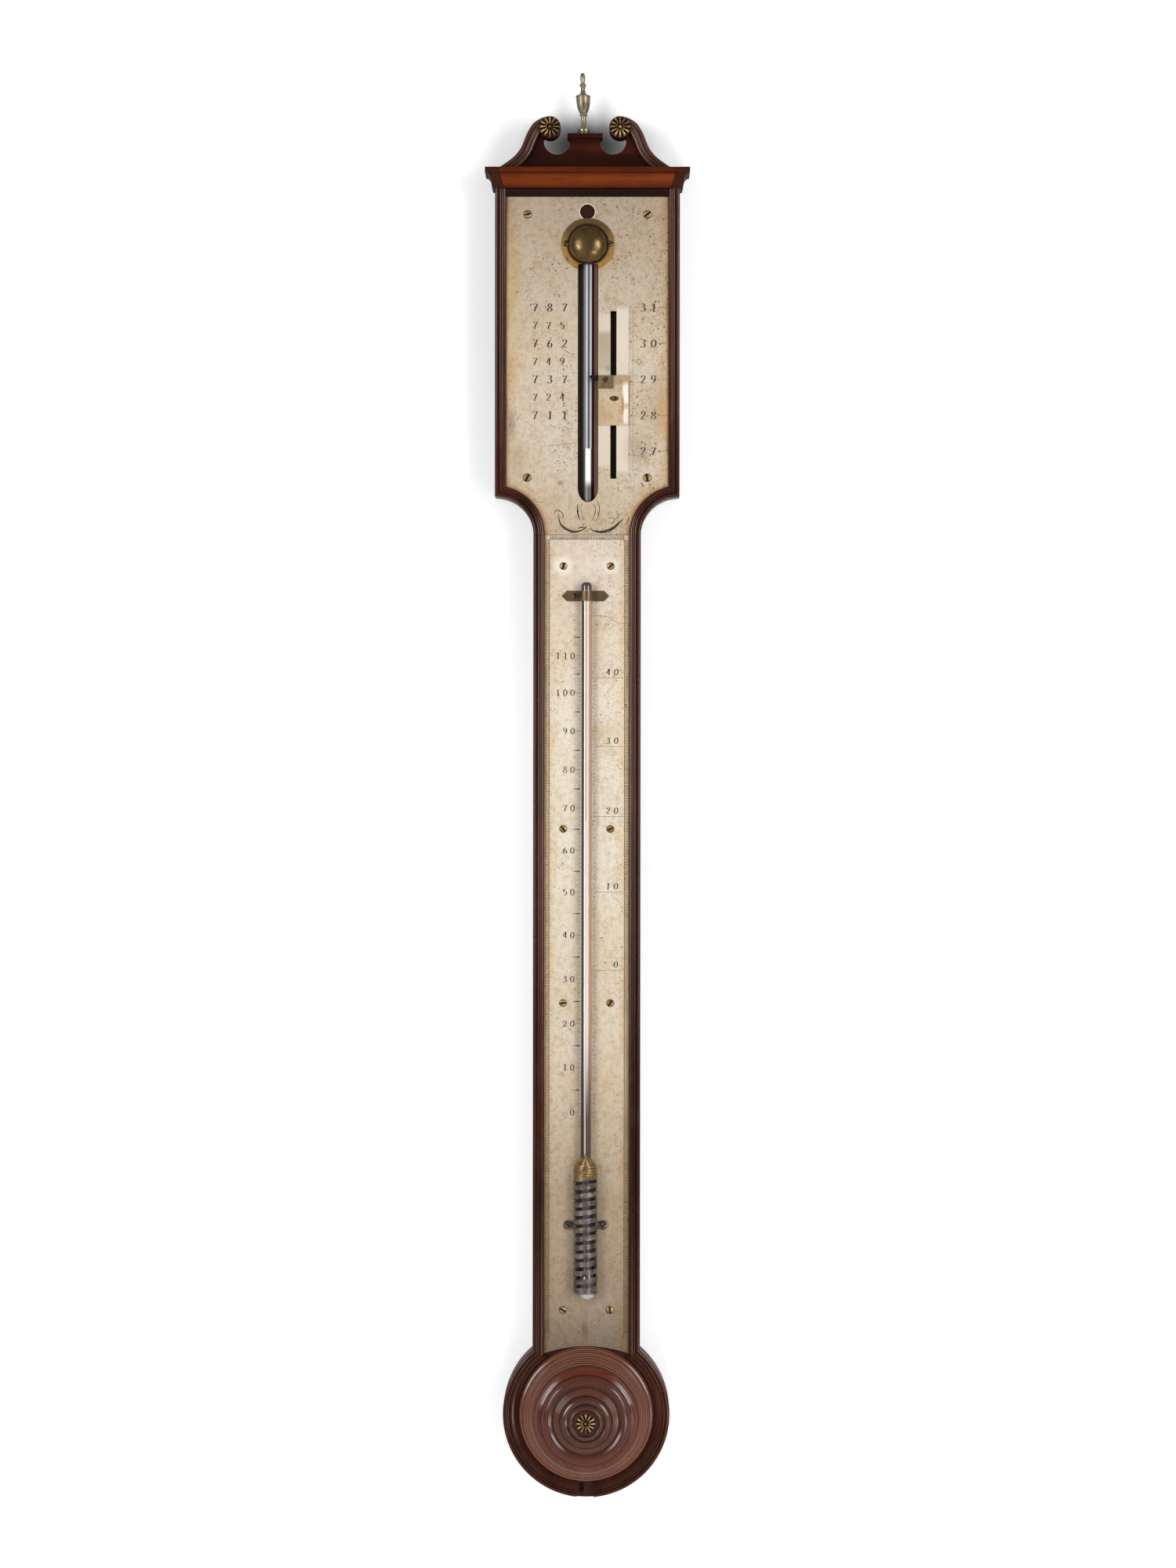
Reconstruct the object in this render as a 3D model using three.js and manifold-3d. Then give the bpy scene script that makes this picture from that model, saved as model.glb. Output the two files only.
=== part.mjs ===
// Stick barometer: a tall mahogany wall instrument with a swan-neck pediment, an engraved
// register plate with a sliding vernier, a long thermometer plate and a turned cistern cover.
//
// Millimetres. X runs to the right, +Z runs up, and the front faces -Y. The wall is the plane
// Y = 0, and a depth is a distance from it towards the viewer. Heights are first laid out from
// the small round hole at the head of the register plate; the last lines of the file move the
// whole instrument so that its origin is the centre of the hanging eye, on the wall.

import * as THREE from 'three';
import * as BufferGeometryUtils from 'three/addons/utils/BufferGeometryUtils.js';
import Module from 'manifold-3d';

const wasm = await Module();
wasm.setup();

// Case
const boardDepth = 21;
const headHalf = 65.35;
const trunkHalf = 38;
const baseRadius = 59;
const baseZ = -850.8;
const caseTopZ = 30.3;
const shoulderZ = -228.8;
const seamClearance = 0.25;
const slideClearance = 0.3;
const overrun = 1;

// Planted moulding that frames the whole front
const mouldingWidth = 7.65;
const mouldingHeight = 5.5;
const mouldingShares = [
  [0, 0], [0, 0.6], [0.06, 0.86], [0.17, 1], [0.3, 0.98], [0.36, 0.76], [0.42, 0.76],
  [0.47, 0.93], [0.56, 0.93], [0.62, 0.66], [0.8, 0.6], [0.92, 0.54], [1, 0.42], [1, 0],
];

// Cornice
const corniceHeight = 13.9;
const corniceThrow = 7;
const corniceThrowShares = [0.29, 0.29, 0.34, 0.38, 0.45, 0.56, 0.7, 0.86, 1, 1];
const corniceRiseShares = [0, 0.1, 0.12, 0.26, 0.4, 0.53, 0.64, 0.72, 0.72, 1];
const railHeight = 5.6;
const railThickness = 3;

// Pediment
const pedimentShift = -1.8;
const pedimentBack = 10;
const pedimentThickness = 12;
const pedimentHalf = 62;
const pedimentRise = 36.7;
const swanXShares = [0.477, 0.555, 0.603, 0.658, 0.695, 0.735, 0.806, 0.924, 1.008, 1.113];
const swanZShares = [0.981, 0.913, 0.839, 0.687, 0.537, 0.384, 0.234, 0.082, 0, -0.095];
const scrollX = 24.8;
const scrollRise = 29;
const scrollRadius = 7.65;
const lobeRadius = 9.5;
const lobeRise = 19.7;
const plinthHalf = 10.2;
const plinthRise = 19.9;
const capNeckHeight = 1.8;
const capNeckLap = 0.8;
const capSlabHeight = 3.35;
const capSlabLap = 1.5;

// Finial
const finialHeight = 44.2;
const finialWidest = 5.3;
const finialRadiusShares = [
  0.84, 0.84, 0.5, 0.36, 0.34, 0.36, 0.62, 0.86, 0.97, 1, 0.86, 0.36, 0.29, 0.46, 0.44, 0.27, 0.35, 0.27,
];
const finialRiseShares = [
  0, 0.05, 0.1, 0.15, 0.25, 0.33, 0.4, 0.5, 0.6, 0.62, 0.64, 0.7, 0.74, 0.79, 0.81, 0.84, 0.94, 0.98,
];
const finialStudRadius = 1.2;
const finialStudLength = 7;

// Rosettes
const rosetteRadius = 7.4;
const coverRosetteRadius = 6.9;
const rosetteThickness = 2.6;
const rosettePetals = 12;
const rosetteRadiusShares = [1, 1, 0.8, 0.5, 0.24, 0.22, 0.12];
const rosetteReliefShares = [0, 0.3, 0.62, 0.5, 0.42, 0.8, 0.98];
const petalDip = 0.07;

// Engraved plates
const plateThickness = 1.6;
const plateTopZ = 10.8;
const plateJointZ = -228.3;
const thermometerPlateHalf = 30.3;
const thermometerPlateSag = 5.1;
const eyeHoleRadius = 5.3;
const tubeSlotX = 0.5;
const tubeSlotHalf = 7.2;
const tubeSlotTopZ = -28;
const tubeSlotFootZ = -205.4;
const tubeSlotFootRise = 10;

// Plate screws: the heads stand on the plates and the shanks go into the case
const registerScrewX = 42.4;
const registerScrewTopZ = -1.9;
const registerScrewFootZ = -188.2;
const registerScrewRadius = 2.95;
const thermometerScrewX = 16.7;
const thermometerScrewZs = [-250.7, -436.7, -560, -777.3];
const thermometerScrewRadius = 2.7;
const screwHeadHeight = 0.9;
const screwShankShare = 0.45;
const screwLength = 9;

// Cap over the top of the barometer tube
const domeX = 0.4;
const domeZ = -23.3;
const domeFlangeRadius = 18.75;
const domeFlangeThickness = 1.3;
const domeRadius = 13.6;
const domeHeight = 8.5;
const domeWall = 1;

// Barometer tube and its mercury
const tubeX = -0.7;
const tubeDepth = 16;
const tubeRadius = 4.6;
const tubeBore = 3.2;
const tubeTopZ = -16;
const tubeFootAboveLip = 4;
const mercuryTopZ = -166.9;
const mercuryLevelAboveLip = 13;
const grooveClearance = 1;

// Cistern, its leather bag and the portable screw
const cisternRadius = 13.5;
const cisternBore = 10.6;
const cisternTopMargin = 17.7;
const cisternFootMargin = 12.3;
const cisternCapHeight = 5;
const cisternFootHeight = 18;
const cisternFloor = 3.7;
const cisternThreadWall = 1.5;
const leatherThickness = 1;
const leatherFootRise = 10;
const leatherFootShare = 0.72;
const padRadius = 7;
const padThickness = 3;
const pocketClearance = 0.5;
const screwRadius = 3;
const screwKeyHalf = 2.1;
const screwKeyLength = 6;
const portableScrewMargin = 6.3;
const notchHalf = 5.85;
const notchBack = 10;

// Turned cistern cover
const coverMargin = 3.85;
const coverHeight = 46;
const coverRadiusShares = [
  1, 1, 0.975, 0.945, 0.945, 0.925, 0.9, 0.895, 0.87, 0.84, 0.835, 0.805, 0.77, 0.765, 0.735, 0.7,
  0.665, 0.655, 0.62, 0.56, 0.51, 0.485, 0.45, 0.435, 0.415, 0.405, 0.38, 0.36, 0.315, 0.285, 0.27,
  0.262, 0.235, 0.2, 0.187,
];
const coverRiseShares = [
  0, 0.12, 0.155, 0.165, 0.2, 0.25, 0.27, 0.31, 0.37, 0.39, 0.43, 0.5, 0.52, 0.56, 0.62, 0.64,
  0.66, 0.7, 0.77, 0.79, 0.775, 0.79, 0.82, 0.81, 0.845, 0.835, 0.875, 0.925, 0.955, 0.94, 0.93,
  0.965, 0.995, 1, 0.975,
];
const coverHollowRadiusShares = [0.45, 0.62, 0.8, 0.86];
const coverHollowRiseShares = [0.55, 0.45, 0.27, 0];

// Vernier
const vernierSlotX = 18.5;
const vernierSlotHalf = 2.1;
const vernierSlotTopZ = -70.2;
const vernierSlotFootZ = -188.8;
const vernierLeft = 8.1;
const vernierRight = 29.3;
const vernierTopZ = -115.9;
const vernierFootZ = -151.2;
const vernierThickness = 1.2;
const studRadius = 1.8;
const studZ = -132.2;
const sliderHalfWidth = 4.5;
const sliderHalfHeight = 8;
const sliderBack = 16;
const recessHalf = 6.5;
const recessBack = 12;
const recessEnd = 10;
const springHalfWidth = 2.5;
const springThickness = 0.5;
const indexRight = 18.5;
const indexFootZ = -125.3;
const indexLeft = 7.9;
const pointerTip = 1.2;
const pointerHeight = 3.9;
const indexThickness = 1.1;

// Thermometer
const stemX = 0.6;
const stemRadius = 3.8;
const stemBore = 1;
const stemTopZ = -262;
const bulbRadius = 5.5;
const bulbWall = 0.8;
const bulbHeight = 16;
const bulbFootZ = -769.5;
const threadRadius = 0.7;
const threadTopZ = -431;
const bulbHoleClearance = 0.7;

// Clip over the top of the thermometer
const clipTopZ = -268.2;
const clipHeight = 7.4;
const clipLeft = -17.8;
const clipRight = 15.6;
const clipPoint = 3.7;
const sheetThickness = 0.8;

// Pierced guard over the bulb
const guardX = -0.6;
const guardHalf = 8.15;
const guardStand = 3.3;
const guardSheet = 0.7;
const guardTipZ = -667;
const guardShoulderZ = -683.6;
const guardFootZ = -764.8;
const guardSlots = 13;
const guardSlotPitch = 6.135;
const guardSlotHeight = 2.5;
const guardSlotRise = 2.2;
const guardFirstSlotZ = -688.6;
const guardRim = 1.4;
const lugX = 12.75;
const lugZ = -717.1;
const lugRadius = 3.4;
const lugHoleRadius = 1.3;

// Hanging plate at the top of the back
const hangZ = 41;
const hangEyeRadius = 3.8;
const hangHalf = 7.5;
const hangFootZ = -14;
const hangThickness = 2;
const hangScrewZs = [-6, 20];
const hangScrewRadius = 2.6;
const hangScrewLength = 9;

// Facets
const fineFacets = 36;
const coverFacets = 30;
const roundFacets = 24;
const smallFacets = 16;
const screwFacets = 10;
const arcSteps = 8;
const guardSteps = 10;

// Worked-out places that several pieces share
const plateFront = boardDepth + plateThickness;
const mouldingFront = boardDepth + mouldingHeight;
const corniceFootZ = caseTopZ - corniceHeight;
const shoulderRadius = headHalf - trunkHalf;
const innerShoulderRadius = shoulderRadius + mouldingWidth;
const seamZ = baseZ + Math.sqrt(baseRadius ** 2 - trunkHalf ** 2);
const coverRadius = baseRadius - mouldingWidth - coverMargin;
const cisternTopZ = baseZ + coverRadius - cisternTopMargin;
const cisternFootZ = baseZ - coverRadius + cisternFootMargin;
const cisternLipZ = cisternFootZ + cisternFootHeight;
const leatherFootZ = cisternFootZ + leatherFootRise;
const tubeFootZ = cisternLipZ + tubeFootAboveLip;
const mercuryLevelZ = cisternLipZ + mercuryLevelAboveLip;
const portableScrewFootZ = baseZ - baseRadius + portableScrewMargin;
const stemDepth = plateFront + slideClearance + stemRadius;
const pedimentFront = pedimentBack + pedimentThickness;
const finialDepth = (pedimentBack + pedimentFront) / 2;
const pocketTopZ = cisternTopZ + pocketClearance;
const pocketFootZ = cisternFootZ - pocketClearance;
const leatherRimZ = cisternLipZ - slideClearance;
const padTopZ = leatherFootZ - slideClearance;
const padFootZ = padTopZ - padThickness;
const padGap = slideClearance;
const coverFace = boardDepth + coverHeight;

// Materials
const paint = (color, roughness, metalness) =>
  new THREE.MeshStandardMaterial({ color, roughness, metalness });
const mahogany = paint(0x4a2620, 0.35, 0);
const redMahogany = paint(0x73361a, 0.4, 0);
const turnedWood = paint(0x5c3129, 0.3, 0);
const silveredBrass = paint(0xd0c0a6, 0.45, 0.6);
const agedBrass = paint(0x8d7440, 0.4, 0.9);
const darkBrass = paint(0x5f5440, 0.45, 0.85);
const clearGlass = paint(0xdfe6e4, 0.05, 0);
const quicksilver = paint(0xb9bcbf, 0.12, 1);
const boxwood = paint(0xb08a54, 0.5, 0);
const kid = paint(0xb79a78, 0.8, 0);
const springSteel = paint(0x6d6f72, 0.3, 1);

const barometer = new THREE.Group();

// Closed, outward-facing, merged copy of a geometry
function closed(source) {
  const bare = source.clone();
  bare.deleteAttribute('normal');
  bare.deleteAttribute('uv');
  const merged = BufferGeometryUtils.mergeVertices(bare);
  const corners = merged.index.array;
  const kept = [];
  const a = new THREE.Vector3();
  const b = new THREE.Vector3();
  const c = new THREE.Vector3();
  let volume = 0;
  for (let i = 0; i < corners.length; i += 3) {
    const [p, q, r] = [corners[i], corners[i + 1], corners[i + 2]];
    if (p === q || q === r || r === p) continue;
    kept.push(p, q, r);
    a.fromBufferAttribute(merged.attributes.position, p);
    b.fromBufferAttribute(merged.attributes.position, q);
    c.fromBufferAttribute(merged.attributes.position, r);
    volume += a.dot(b.cross(c));
  }
  if (volume < 0) kept.reverse();
  merged.setIndex(kept);
  return merged;
}

function toSolid(geometry) {
  const shell = closed(geometry);
  return new wasm.Manifold(new wasm.Mesh({
    numProp: 3,
    vertProperties: new Float32Array(shell.attributes.position.array),
    triVerts: new Uint32Array(shell.index.array),
  }));
}

function fromSolid(solid) {
  const mesh = solid.getMesh();
  const geometry = new THREE.BufferGeometry();
  geometry.setAttribute('position', new THREE.BufferAttribute(mesh.vertProperties, 3));
  geometry.setIndex(new THREE.BufferAttribute(mesh.triVerts, 1));
  return geometry;
}

function cut(body, ...tools) {
  return fromSolid(tools.reduce((solid, tool) => solid.subtract(toSolid(tool)), toSolid(body)));
}

function join(body, ...others) {
  return fromSolid(others.reduce((solid, other) => solid.add(toSolid(other)), toSolid(body)));
}

function common(body, other) {
  return fromSolid(toSolid(body).intersect(toSolid(other)));
}

function mirrored(geometry) {
  return closed(geometry.clone().scale(-1, 1, 1));
}

function piece(name, geometry, material, parent = barometer) {
  const shell = closed(geometry);
  shell.computeVertexNormals();
  const mesh = new THREE.Mesh(shell, material);
  mesh.name = name;
  parent.add(mesh);
  return mesh;
}

// Front outline given as [x, z] points, filled between two depths
function slab(outline, back, front) {
  const shape = new THREE.Shape(outline.map(([x, z]) => new THREE.Vector2(x, z)));
  const solid = new THREE.ExtrudeGeometry(shape, { depth: front - back, bevelEnabled: false });
  return solid.rotateX(Math.PI / 2).translate(0, -back, 0);
}

function block(left, right, back, front, foot, top) {
  const box = new THREE.BoxGeometry(right - left, front - back, top - foot);
  return box.translate((left + right) / 2, -(back + front) / 2, (foot + top) / 2);
}

// Round bar that runs from the wall towards the viewer
function peg(x, z, radius, back, front, facets) {
  const bar = new THREE.CylinderGeometry(radius, radius, front - back, facets);
  return bar.translate(x, -(back + front) / 2, z);
}

// Round bar that stands upright
function post(x, depth, radius, foot, top, facets) {
  const bar = new THREE.CylinderGeometry(radius, radius, top - foot, facets);
  return bar.rotateX(Math.PI / 2).translate(x, -depth, (foot + top) / 2);
}

// Turned about an upright axis, from [radius, z] points
function turnedUpright(profile, x, depth, facets) {
  const points = profile.map(([radius, z]) => new THREE.Vector2(radius, z));
  return new THREE.LatheGeometry(points, facets).rotateX(Math.PI / 2).translate(x, -depth, 0);
}

// Turned about an axis square to the wall, from [radius, depth] points
function turnedFacing(profile, x, z, facets) {
  const points = profile.map(([radius, depth]) => new THREE.Vector2(radius, -depth));
  return new THREE.LatheGeometry(points, facets).translate(x, 0, z);
}

function arc(x, z, radius, from, to, steps) {
  const points = [];
  for (let i = 0; i <= steps; i += 1) {
    const angle = from + (to - from) * i / steps;
    points.push([x + radius * Math.cos(angle), z + radius * Math.sin(angle)]);
  }
  return points;
}

// Rounded slot outline
function slotOutline(x, half, foot, top, footRise) {
  const footArc = arc(0, 0, 1, Math.PI, 2 * Math.PI, arcSteps);
  return [
    ...footArc.map(([cos, sin]) => [x + half * cos, foot + footRise * (1 + sin)]),
    ...arc(x, top - half, half, 0, Math.PI, arcSteps),
  ];
}

// Closed skin through one profile placed at a run of stations, with flat ends
function loft(outline, stations) {
  const wound = outline.map(([u, v]) => new THREE.Vector2(u, v));
  const profile = THREE.ShapeUtils.isClockWise(wound) ? [...outline].reverse() : outline;
  const count = profile.length;
  const positions = [];
  for (const station of stations) {
    for (const [u, v] of profile) positions.push(...station(u, v));
  }
  const index = [];
  for (let s = 0; s + 1 < stations.length; s += 1) {
    for (let i = 0; i < count; i += 1) {
      const j = (i + 1) % count;
      const [a, b] = [s * count + i, s * count + j];
      index.push(a, b, b + count, a, b + count, a + count);
    }
  }
  const flat = profile.map(([u, v]) => new THREE.Vector2(u, v));
  const last = (stations.length - 1) * count;
  for (const [a, b, c] of THREE.ShapeUtils.triangulateShape(flat, [])) {
    index.push(c, b, a, last + a, last + b, last + c);
  }
  const skin = new THREE.BufferGeometry();
  skin.setAttribute('position', new THREE.Float32BufferAttribute(positions, 3));
  skin.setIndex(index);
  return skin;
}

const mouldingProfile = mouldingShares.map(
  ([across, up]) => [across * mouldingWidth, up * mouldingHeight],
);

const radians = THREE.MathUtils.degToRad;

// Case: the head and trunk in one board, and the round base block below its seam
function plateScrewPlaces() {
  const places = [];
  for (const side of [-1, 1]) {
    const hand = side < 0 ? 'left' : 'right';
    places.push([`register_screw_top_${hand}`, side * registerScrewX, registerScrewTopZ, registerScrewRadius]);
    places.push([`register_screw_foot_${hand}`, side * registerScrewX, registerScrewFootZ, registerScrewRadius]);
    thermometerScrewZs.forEach((z, row) => {
      const name = `thermometer_screw_${row + 1}_${hand}`;
      places.push([name, side * thermometerScrewX, z, thermometerScrewRadius]);
    });
  }
  return places;
}

const screwPlaces = plateScrewPlaces();
const shankHole = ([, x, z, radius]) =>
  peg(x, z, radius * screwShankShare + slideClearance, boardDepth - screwLength, plateFront + overrun, screwFacets);

const shoulder = arc(headHalf, shoulderZ, shoulderRadius, radians(90), radians(180), arcSteps);
const rightSide = [
  [headHalf, caseTopZ],
  ...shoulder,
  [trunkHalf, seamZ],
];
const caseOutline = [...rightSide, ...rightSide.map(([x, z]) => [-x, z]).reverse()];

const grooveHalf = tubeRadius + grooveClearance;
const tubeGroove = block(
  tubeX - grooveHalf, tubeX + grooveHalf, tubeDepth - grooveHalf, boardDepth + overrun,
  pocketTopZ - overrun, tubeTopZ + grooveClearance,
);
const vernierRecess = block(
  vernierSlotX - recessHalf, vernierSlotX + recessHalf, recessBack, boardDepth + overrun,
  vernierSlotFootZ - recessEnd, vernierSlotTopZ + recessEnd,
);
const hangRebate = block(
  -hangHalf - seamClearance, hangHalf + seamClearance, -overrun, hangThickness + seamClearance,
  hangFootZ - seamClearance, caseTopZ + overrun,
);
const hangScrewShankHoles = hangScrewZs.map((z) =>
  peg(0, z, hangScrewRadius * screwShankShare + slideClearance, 0, hangScrewLength + overrun, screwFacets));

piece('case_board', cut(
  slab(caseOutline, 0, boardDepth),
  tubeGroove, vernierRecess, hangRebate, ...hangScrewShankHoles, ...screwPlaces.map(shankHole),
), mahogany);

const mitreAngle = Math.acos(trunkHalf / baseRadius);
const baseArc = arc(0, baseZ, baseRadius, mitreAngle, -Math.PI - mitreAngle, fineFacets);
const pocket = block(
  tubeX - cisternRadius - pocketClearance, tubeX + cisternRadius + pocketClearance,
  tubeDepth - cisternRadius - pocketClearance, boardDepth + overrun, pocketFootZ, pocketTopZ,
);
const notch = block(
  tubeX - notchHalf, tubeX + notchHalf, notchBack, boardDepth + overrun,
  baseZ - baseRadius - overrun, pocketFootZ + overrun,
);
piece('base_block', cut(slab(baseArc, 0, boardDepth), pocket, notch, tubeGroove), mahogany);

// Planted mouldings: straight runs, concave shoulders and the ring round the base
function mouldingStation(outerX, outerZ, inX, inZ) {
  return (u, v) => [outerX + inX * u, -(boardDepth + v), outerZ + inZ * u];
}

const shoulderMitre = (u, v) => {
  const rise = Math.sqrt((shoulderRadius + u) ** 2 - u ** 2);
  return [headHalf - u, -(boardDepth + v), shoulderZ + rise];
};
const shoulderMitreAngle = Math.PI - Math.acos(mouldingWidth / innerShoulderRadius);
const shoulderStations = arc(0, 0, 1, shoulderMitreAngle, Math.PI, arcSteps).slice(1).map(([cos, sin]) =>
  mouldingStation(headHalf + shoulderRadius * cos, shoulderZ + shoulderRadius * sin, cos, sin));
const headMoulding = loft(mouldingProfile, [
  mouldingStation(headHalf, corniceFootZ, -1, 0),
  shoulderMitre,
  ...shoulderStations,
]);

const baseMitre = (u, v) => {
  const rise = Math.sqrt((baseRadius - u) ** 2 - (trunkHalf - u) ** 2);
  return [trunkHalf - u, -(boardDepth + v), baseZ + rise];
};
const trunkMoulding = loft(mouldingProfile, [
  mouldingStation(trunkHalf, shoulderZ, -1, 0),
  baseMitre,
]);

function baseMoulding(side) {
  const notchSide = side * tubeX + notchHalf;
  const notchEnd = (u, v) => {
    const drop = Math.sqrt((baseRadius - u) ** 2 - notchSide ** 2);
    return [notchSide, -(boardDepth + v), baseZ - drop];
  };
  const from = Math.acos((trunkHalf - mouldingWidth) / (baseRadius - mouldingWidth));
  const first = Math.min(mitreAngle, from);
  const lastAngle = -Math.acos(notchSide / (baseRadius - mouldingWidth));
  const inner = arc(0, 0, 1, first, lastAngle, 2 * arcSteps).slice(1, -1);
  const run = loft(mouldingProfile, [
    baseMitre,
    ...inner.map(([cos, sin]) => mouldingStation(baseRadius * cos, baseZ + baseRadius * sin, -cos, -sin)),
    notchEnd,
  ]);
  return side < 0 ? mirrored(run) : run;
}

piece('head_moulding_right', headMoulding, mahogany);
piece('head_moulding_left', mirrored(headMoulding), mahogany);
piece('trunk_moulding_right', trunkMoulding, mahogany);
piece('trunk_moulding_left', mirrored(trunkMoulding), mahogany);
piece('base_moulding_right', baseMoulding(1), mahogany);
piece('base_moulding_left', baseMoulding(-1), mahogany);

const faceHalf = headHalf - mouldingWidth - seamClearance;
piece('head_rail', block(
  -faceHalf, faceHalf, boardDepth, boardDepth + railThickness, corniceFootZ - railHeight, corniceFootZ,
), mahogany);

// Cornice: a front length mitred to two returns
const corniceCurve = corniceThrowShares.map(
  (out, i) => [out * corniceThrow, corniceRiseShares[i] * corniceHeight],
);
const corniceProfile = [[0, 0], ...corniceCurve, [0, corniceHeight]];
const corniceCorner = (side) => (u, v) => [side * (headHalf + u), -(mouldingFront + u), corniceFootZ + v];
piece('cornice_front', join(
  loft(corniceProfile, [corniceCorner(-1), corniceCorner(1)]),
  block(-headHalf, headHalf, boardDepth, mouldingFront, corniceFootZ, caseTopZ),
), redMahogany);
const corniceReturn = loft(corniceProfile, [
  corniceCorner(1),
  (u, v) => [headHalf + u, 0, corniceFootZ + v],
]);
piece('cornice_return_right', corniceReturn, mahogany);
piece('cornice_return_left', mirrored(corniceReturn), mahogany);

// Pediment: a sawn board between two swan-neck mouldings, with a plinth for the finial
const pediment = new THREE.Group();
pediment.position.set(pedimentShift, 0, caseTopZ);
barometer.add(pediment);

const swanPoints = [
  new THREE.Vector2(scrollX, scrollRise + scrollRadius),
  ...swanXShares.map((x, i) => new THREE.Vector2(x * pedimentHalf, swanZShares[i] * pedimentRise)),
];
const swanCurve = new THREE.SplineCurve(swanPoints);
const swanSteps = 2 * arcSteps;
const swanPath = [];
for (let i = 0; i <= swanSteps; i += 1) {
  const point = swanCurve.getPointAt(i / swanSteps);
  const tangent = swanCurve.getTangentAt(i / swanSteps);
  swanPath.push({ point, inward: i === 0 ? [0, -1] : [tangent.y, -tangent.x] });
}

const lobeX = plinthHalf + lobeRadius;
function scrollMeetsLobe() {
  const [dx, dz] = [scrollX - lobeX, scrollRise - lobeRise];
  const span = Math.hypot(dx, dz);
  const along = (span ** 2 + lobeRadius ** 2 - scrollRadius ** 2) / (2 * span);
  const aside = Math.sqrt(lobeRadius ** 2 - along ** 2);
  return [lobeX + (dx * along + dz * aside) / span, lobeRise + (dz * along - dx * aside) / span];
}
const [meetX, meetZ] = scrollMeetsLobe();
const scrollFrom = Math.PI / 2;
const scrollTo = 2 * Math.PI + Math.atan2(meetZ - scrollRise, meetX - scrollX);
const lobeFrom = Math.atan2(meetZ - lobeRise, meetX - lobeX);
const pedimentRight = [
  ...swanPath.map(({ point }) => [point.x, point.y]).reverse(),
  ...arc(scrollX, scrollRise, scrollRadius, scrollFrom, scrollTo, fineFacets / 2).slice(1),
  ...arc(lobeX, lobeRise, lobeRadius, lobeFrom, -Math.PI, fineFacets / 2).slice(1),
  [plinthHalf, plinthRise],
];
const pedimentOutline = [...pedimentRight, ...pedimentRight.map(([x, z]) => [-x, z]).reverse()];
const belowPediment = block(
  -2 * pedimentHalf, 2 * pedimentHalf, 0, boardDepth + coverHeight, -pedimentRise, 0,
);
const studHole = post(
  0, finialDepth, finialStudRadius + slideClearance,
  plinthRise + capNeckHeight + capSlabHeight - finialStudLength - slideClearance,
  plinthRise + capNeckHeight + capSlabHeight + overrun, screwFacets,
);
piece('pediment_board', cut(
  slab(pedimentOutline, pedimentBack, pedimentFront), belowPediment, studHole,
), mahogany, pediment);

const swanBand = loft(mouldingProfile, swanPath.map(({ point, inward }) => (u, v) =>
  [point.x + inward[0] * u, -(pedimentFront + v), point.y + inward[1] * u]));
const scrollBoss = peg(
  scrollX, scrollRise, scrollRadius, pedimentFront, pedimentFront + mouldingHeight, roundFacets,
);
const swanNeck = cut(join(swanBand, scrollBoss), belowPediment);
piece('swan_neck_right', swanNeck, mahogany, pediment);
piece('swan_neck_left', mirrored(swanNeck), mahogany, pediment);

function capStep(lap, foot, height) {
  return block(
    -plinthHalf - lap, plinthHalf + lap, pedimentBack - lap, pedimentFront + lap, foot, foot + height,
  );
}
piece('plinth_cap', cut(join(
  capStep(capNeckLap, plinthRise, capNeckHeight),
  capStep(capNeckLap + capSlabLap, plinthRise + capNeckHeight, capSlabHeight),
), studHole), mahogany, pediment);

const capTop = plinthRise + capNeckHeight + capSlabHeight;
piece('finial', turnedUpright([
  [0, capTop - finialStudLength],
  [finialStudRadius, capTop - finialStudLength],
  [finialStudRadius, capTop],
  ...finialRadiusShares.map((out, i) => [out * finialWidest, capTop + finialRiseShares[i] * finialHeight]),
  [0, capTop + finialHeight],
], 0, finialDepth, smallFacets), darkBrass, pediment);

// Petalled brass rosettes on the scrolls and on the cistern cover
function rosette(radius, base, x, z) {
  const profile = rosetteRadiusShares.map(
    (out, i) => [out * radius, base + rosetteReliefShares[i] * rosetteThickness],
  );
  const disc = turnedFacing([[0, base], ...profile, [0, base + rosetteThickness]], 0, 0, 2 * rosettePetals);
  const places = disc.attributes.position;
  for (let i = 0; i < places.count; i += 1) {
    const turn = Math.atan2(places.getZ(i), places.getX(i)) * rosettePetals;
    const reach = Math.hypot(places.getX(i), places.getZ(i)) / radius;
    const pinch = 1 - petalDip * reach * (1 - Math.cos(turn)) / 2;
    places.setX(i, places.getX(i) * pinch);
    places.setZ(i, places.getZ(i) * pinch);
  }
  return disc.translate(x, 0, z);
}

const scrollFace = pedimentFront + mouldingHeight;
piece('rosette_right', rosette(rosetteRadius, scrollFace, scrollX, scrollRise), darkBrass, pediment);
piece('rosette_left', rosette(rosetteRadius, scrollFace, -scrollX, scrollRise), darkBrass, pediment);

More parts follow.
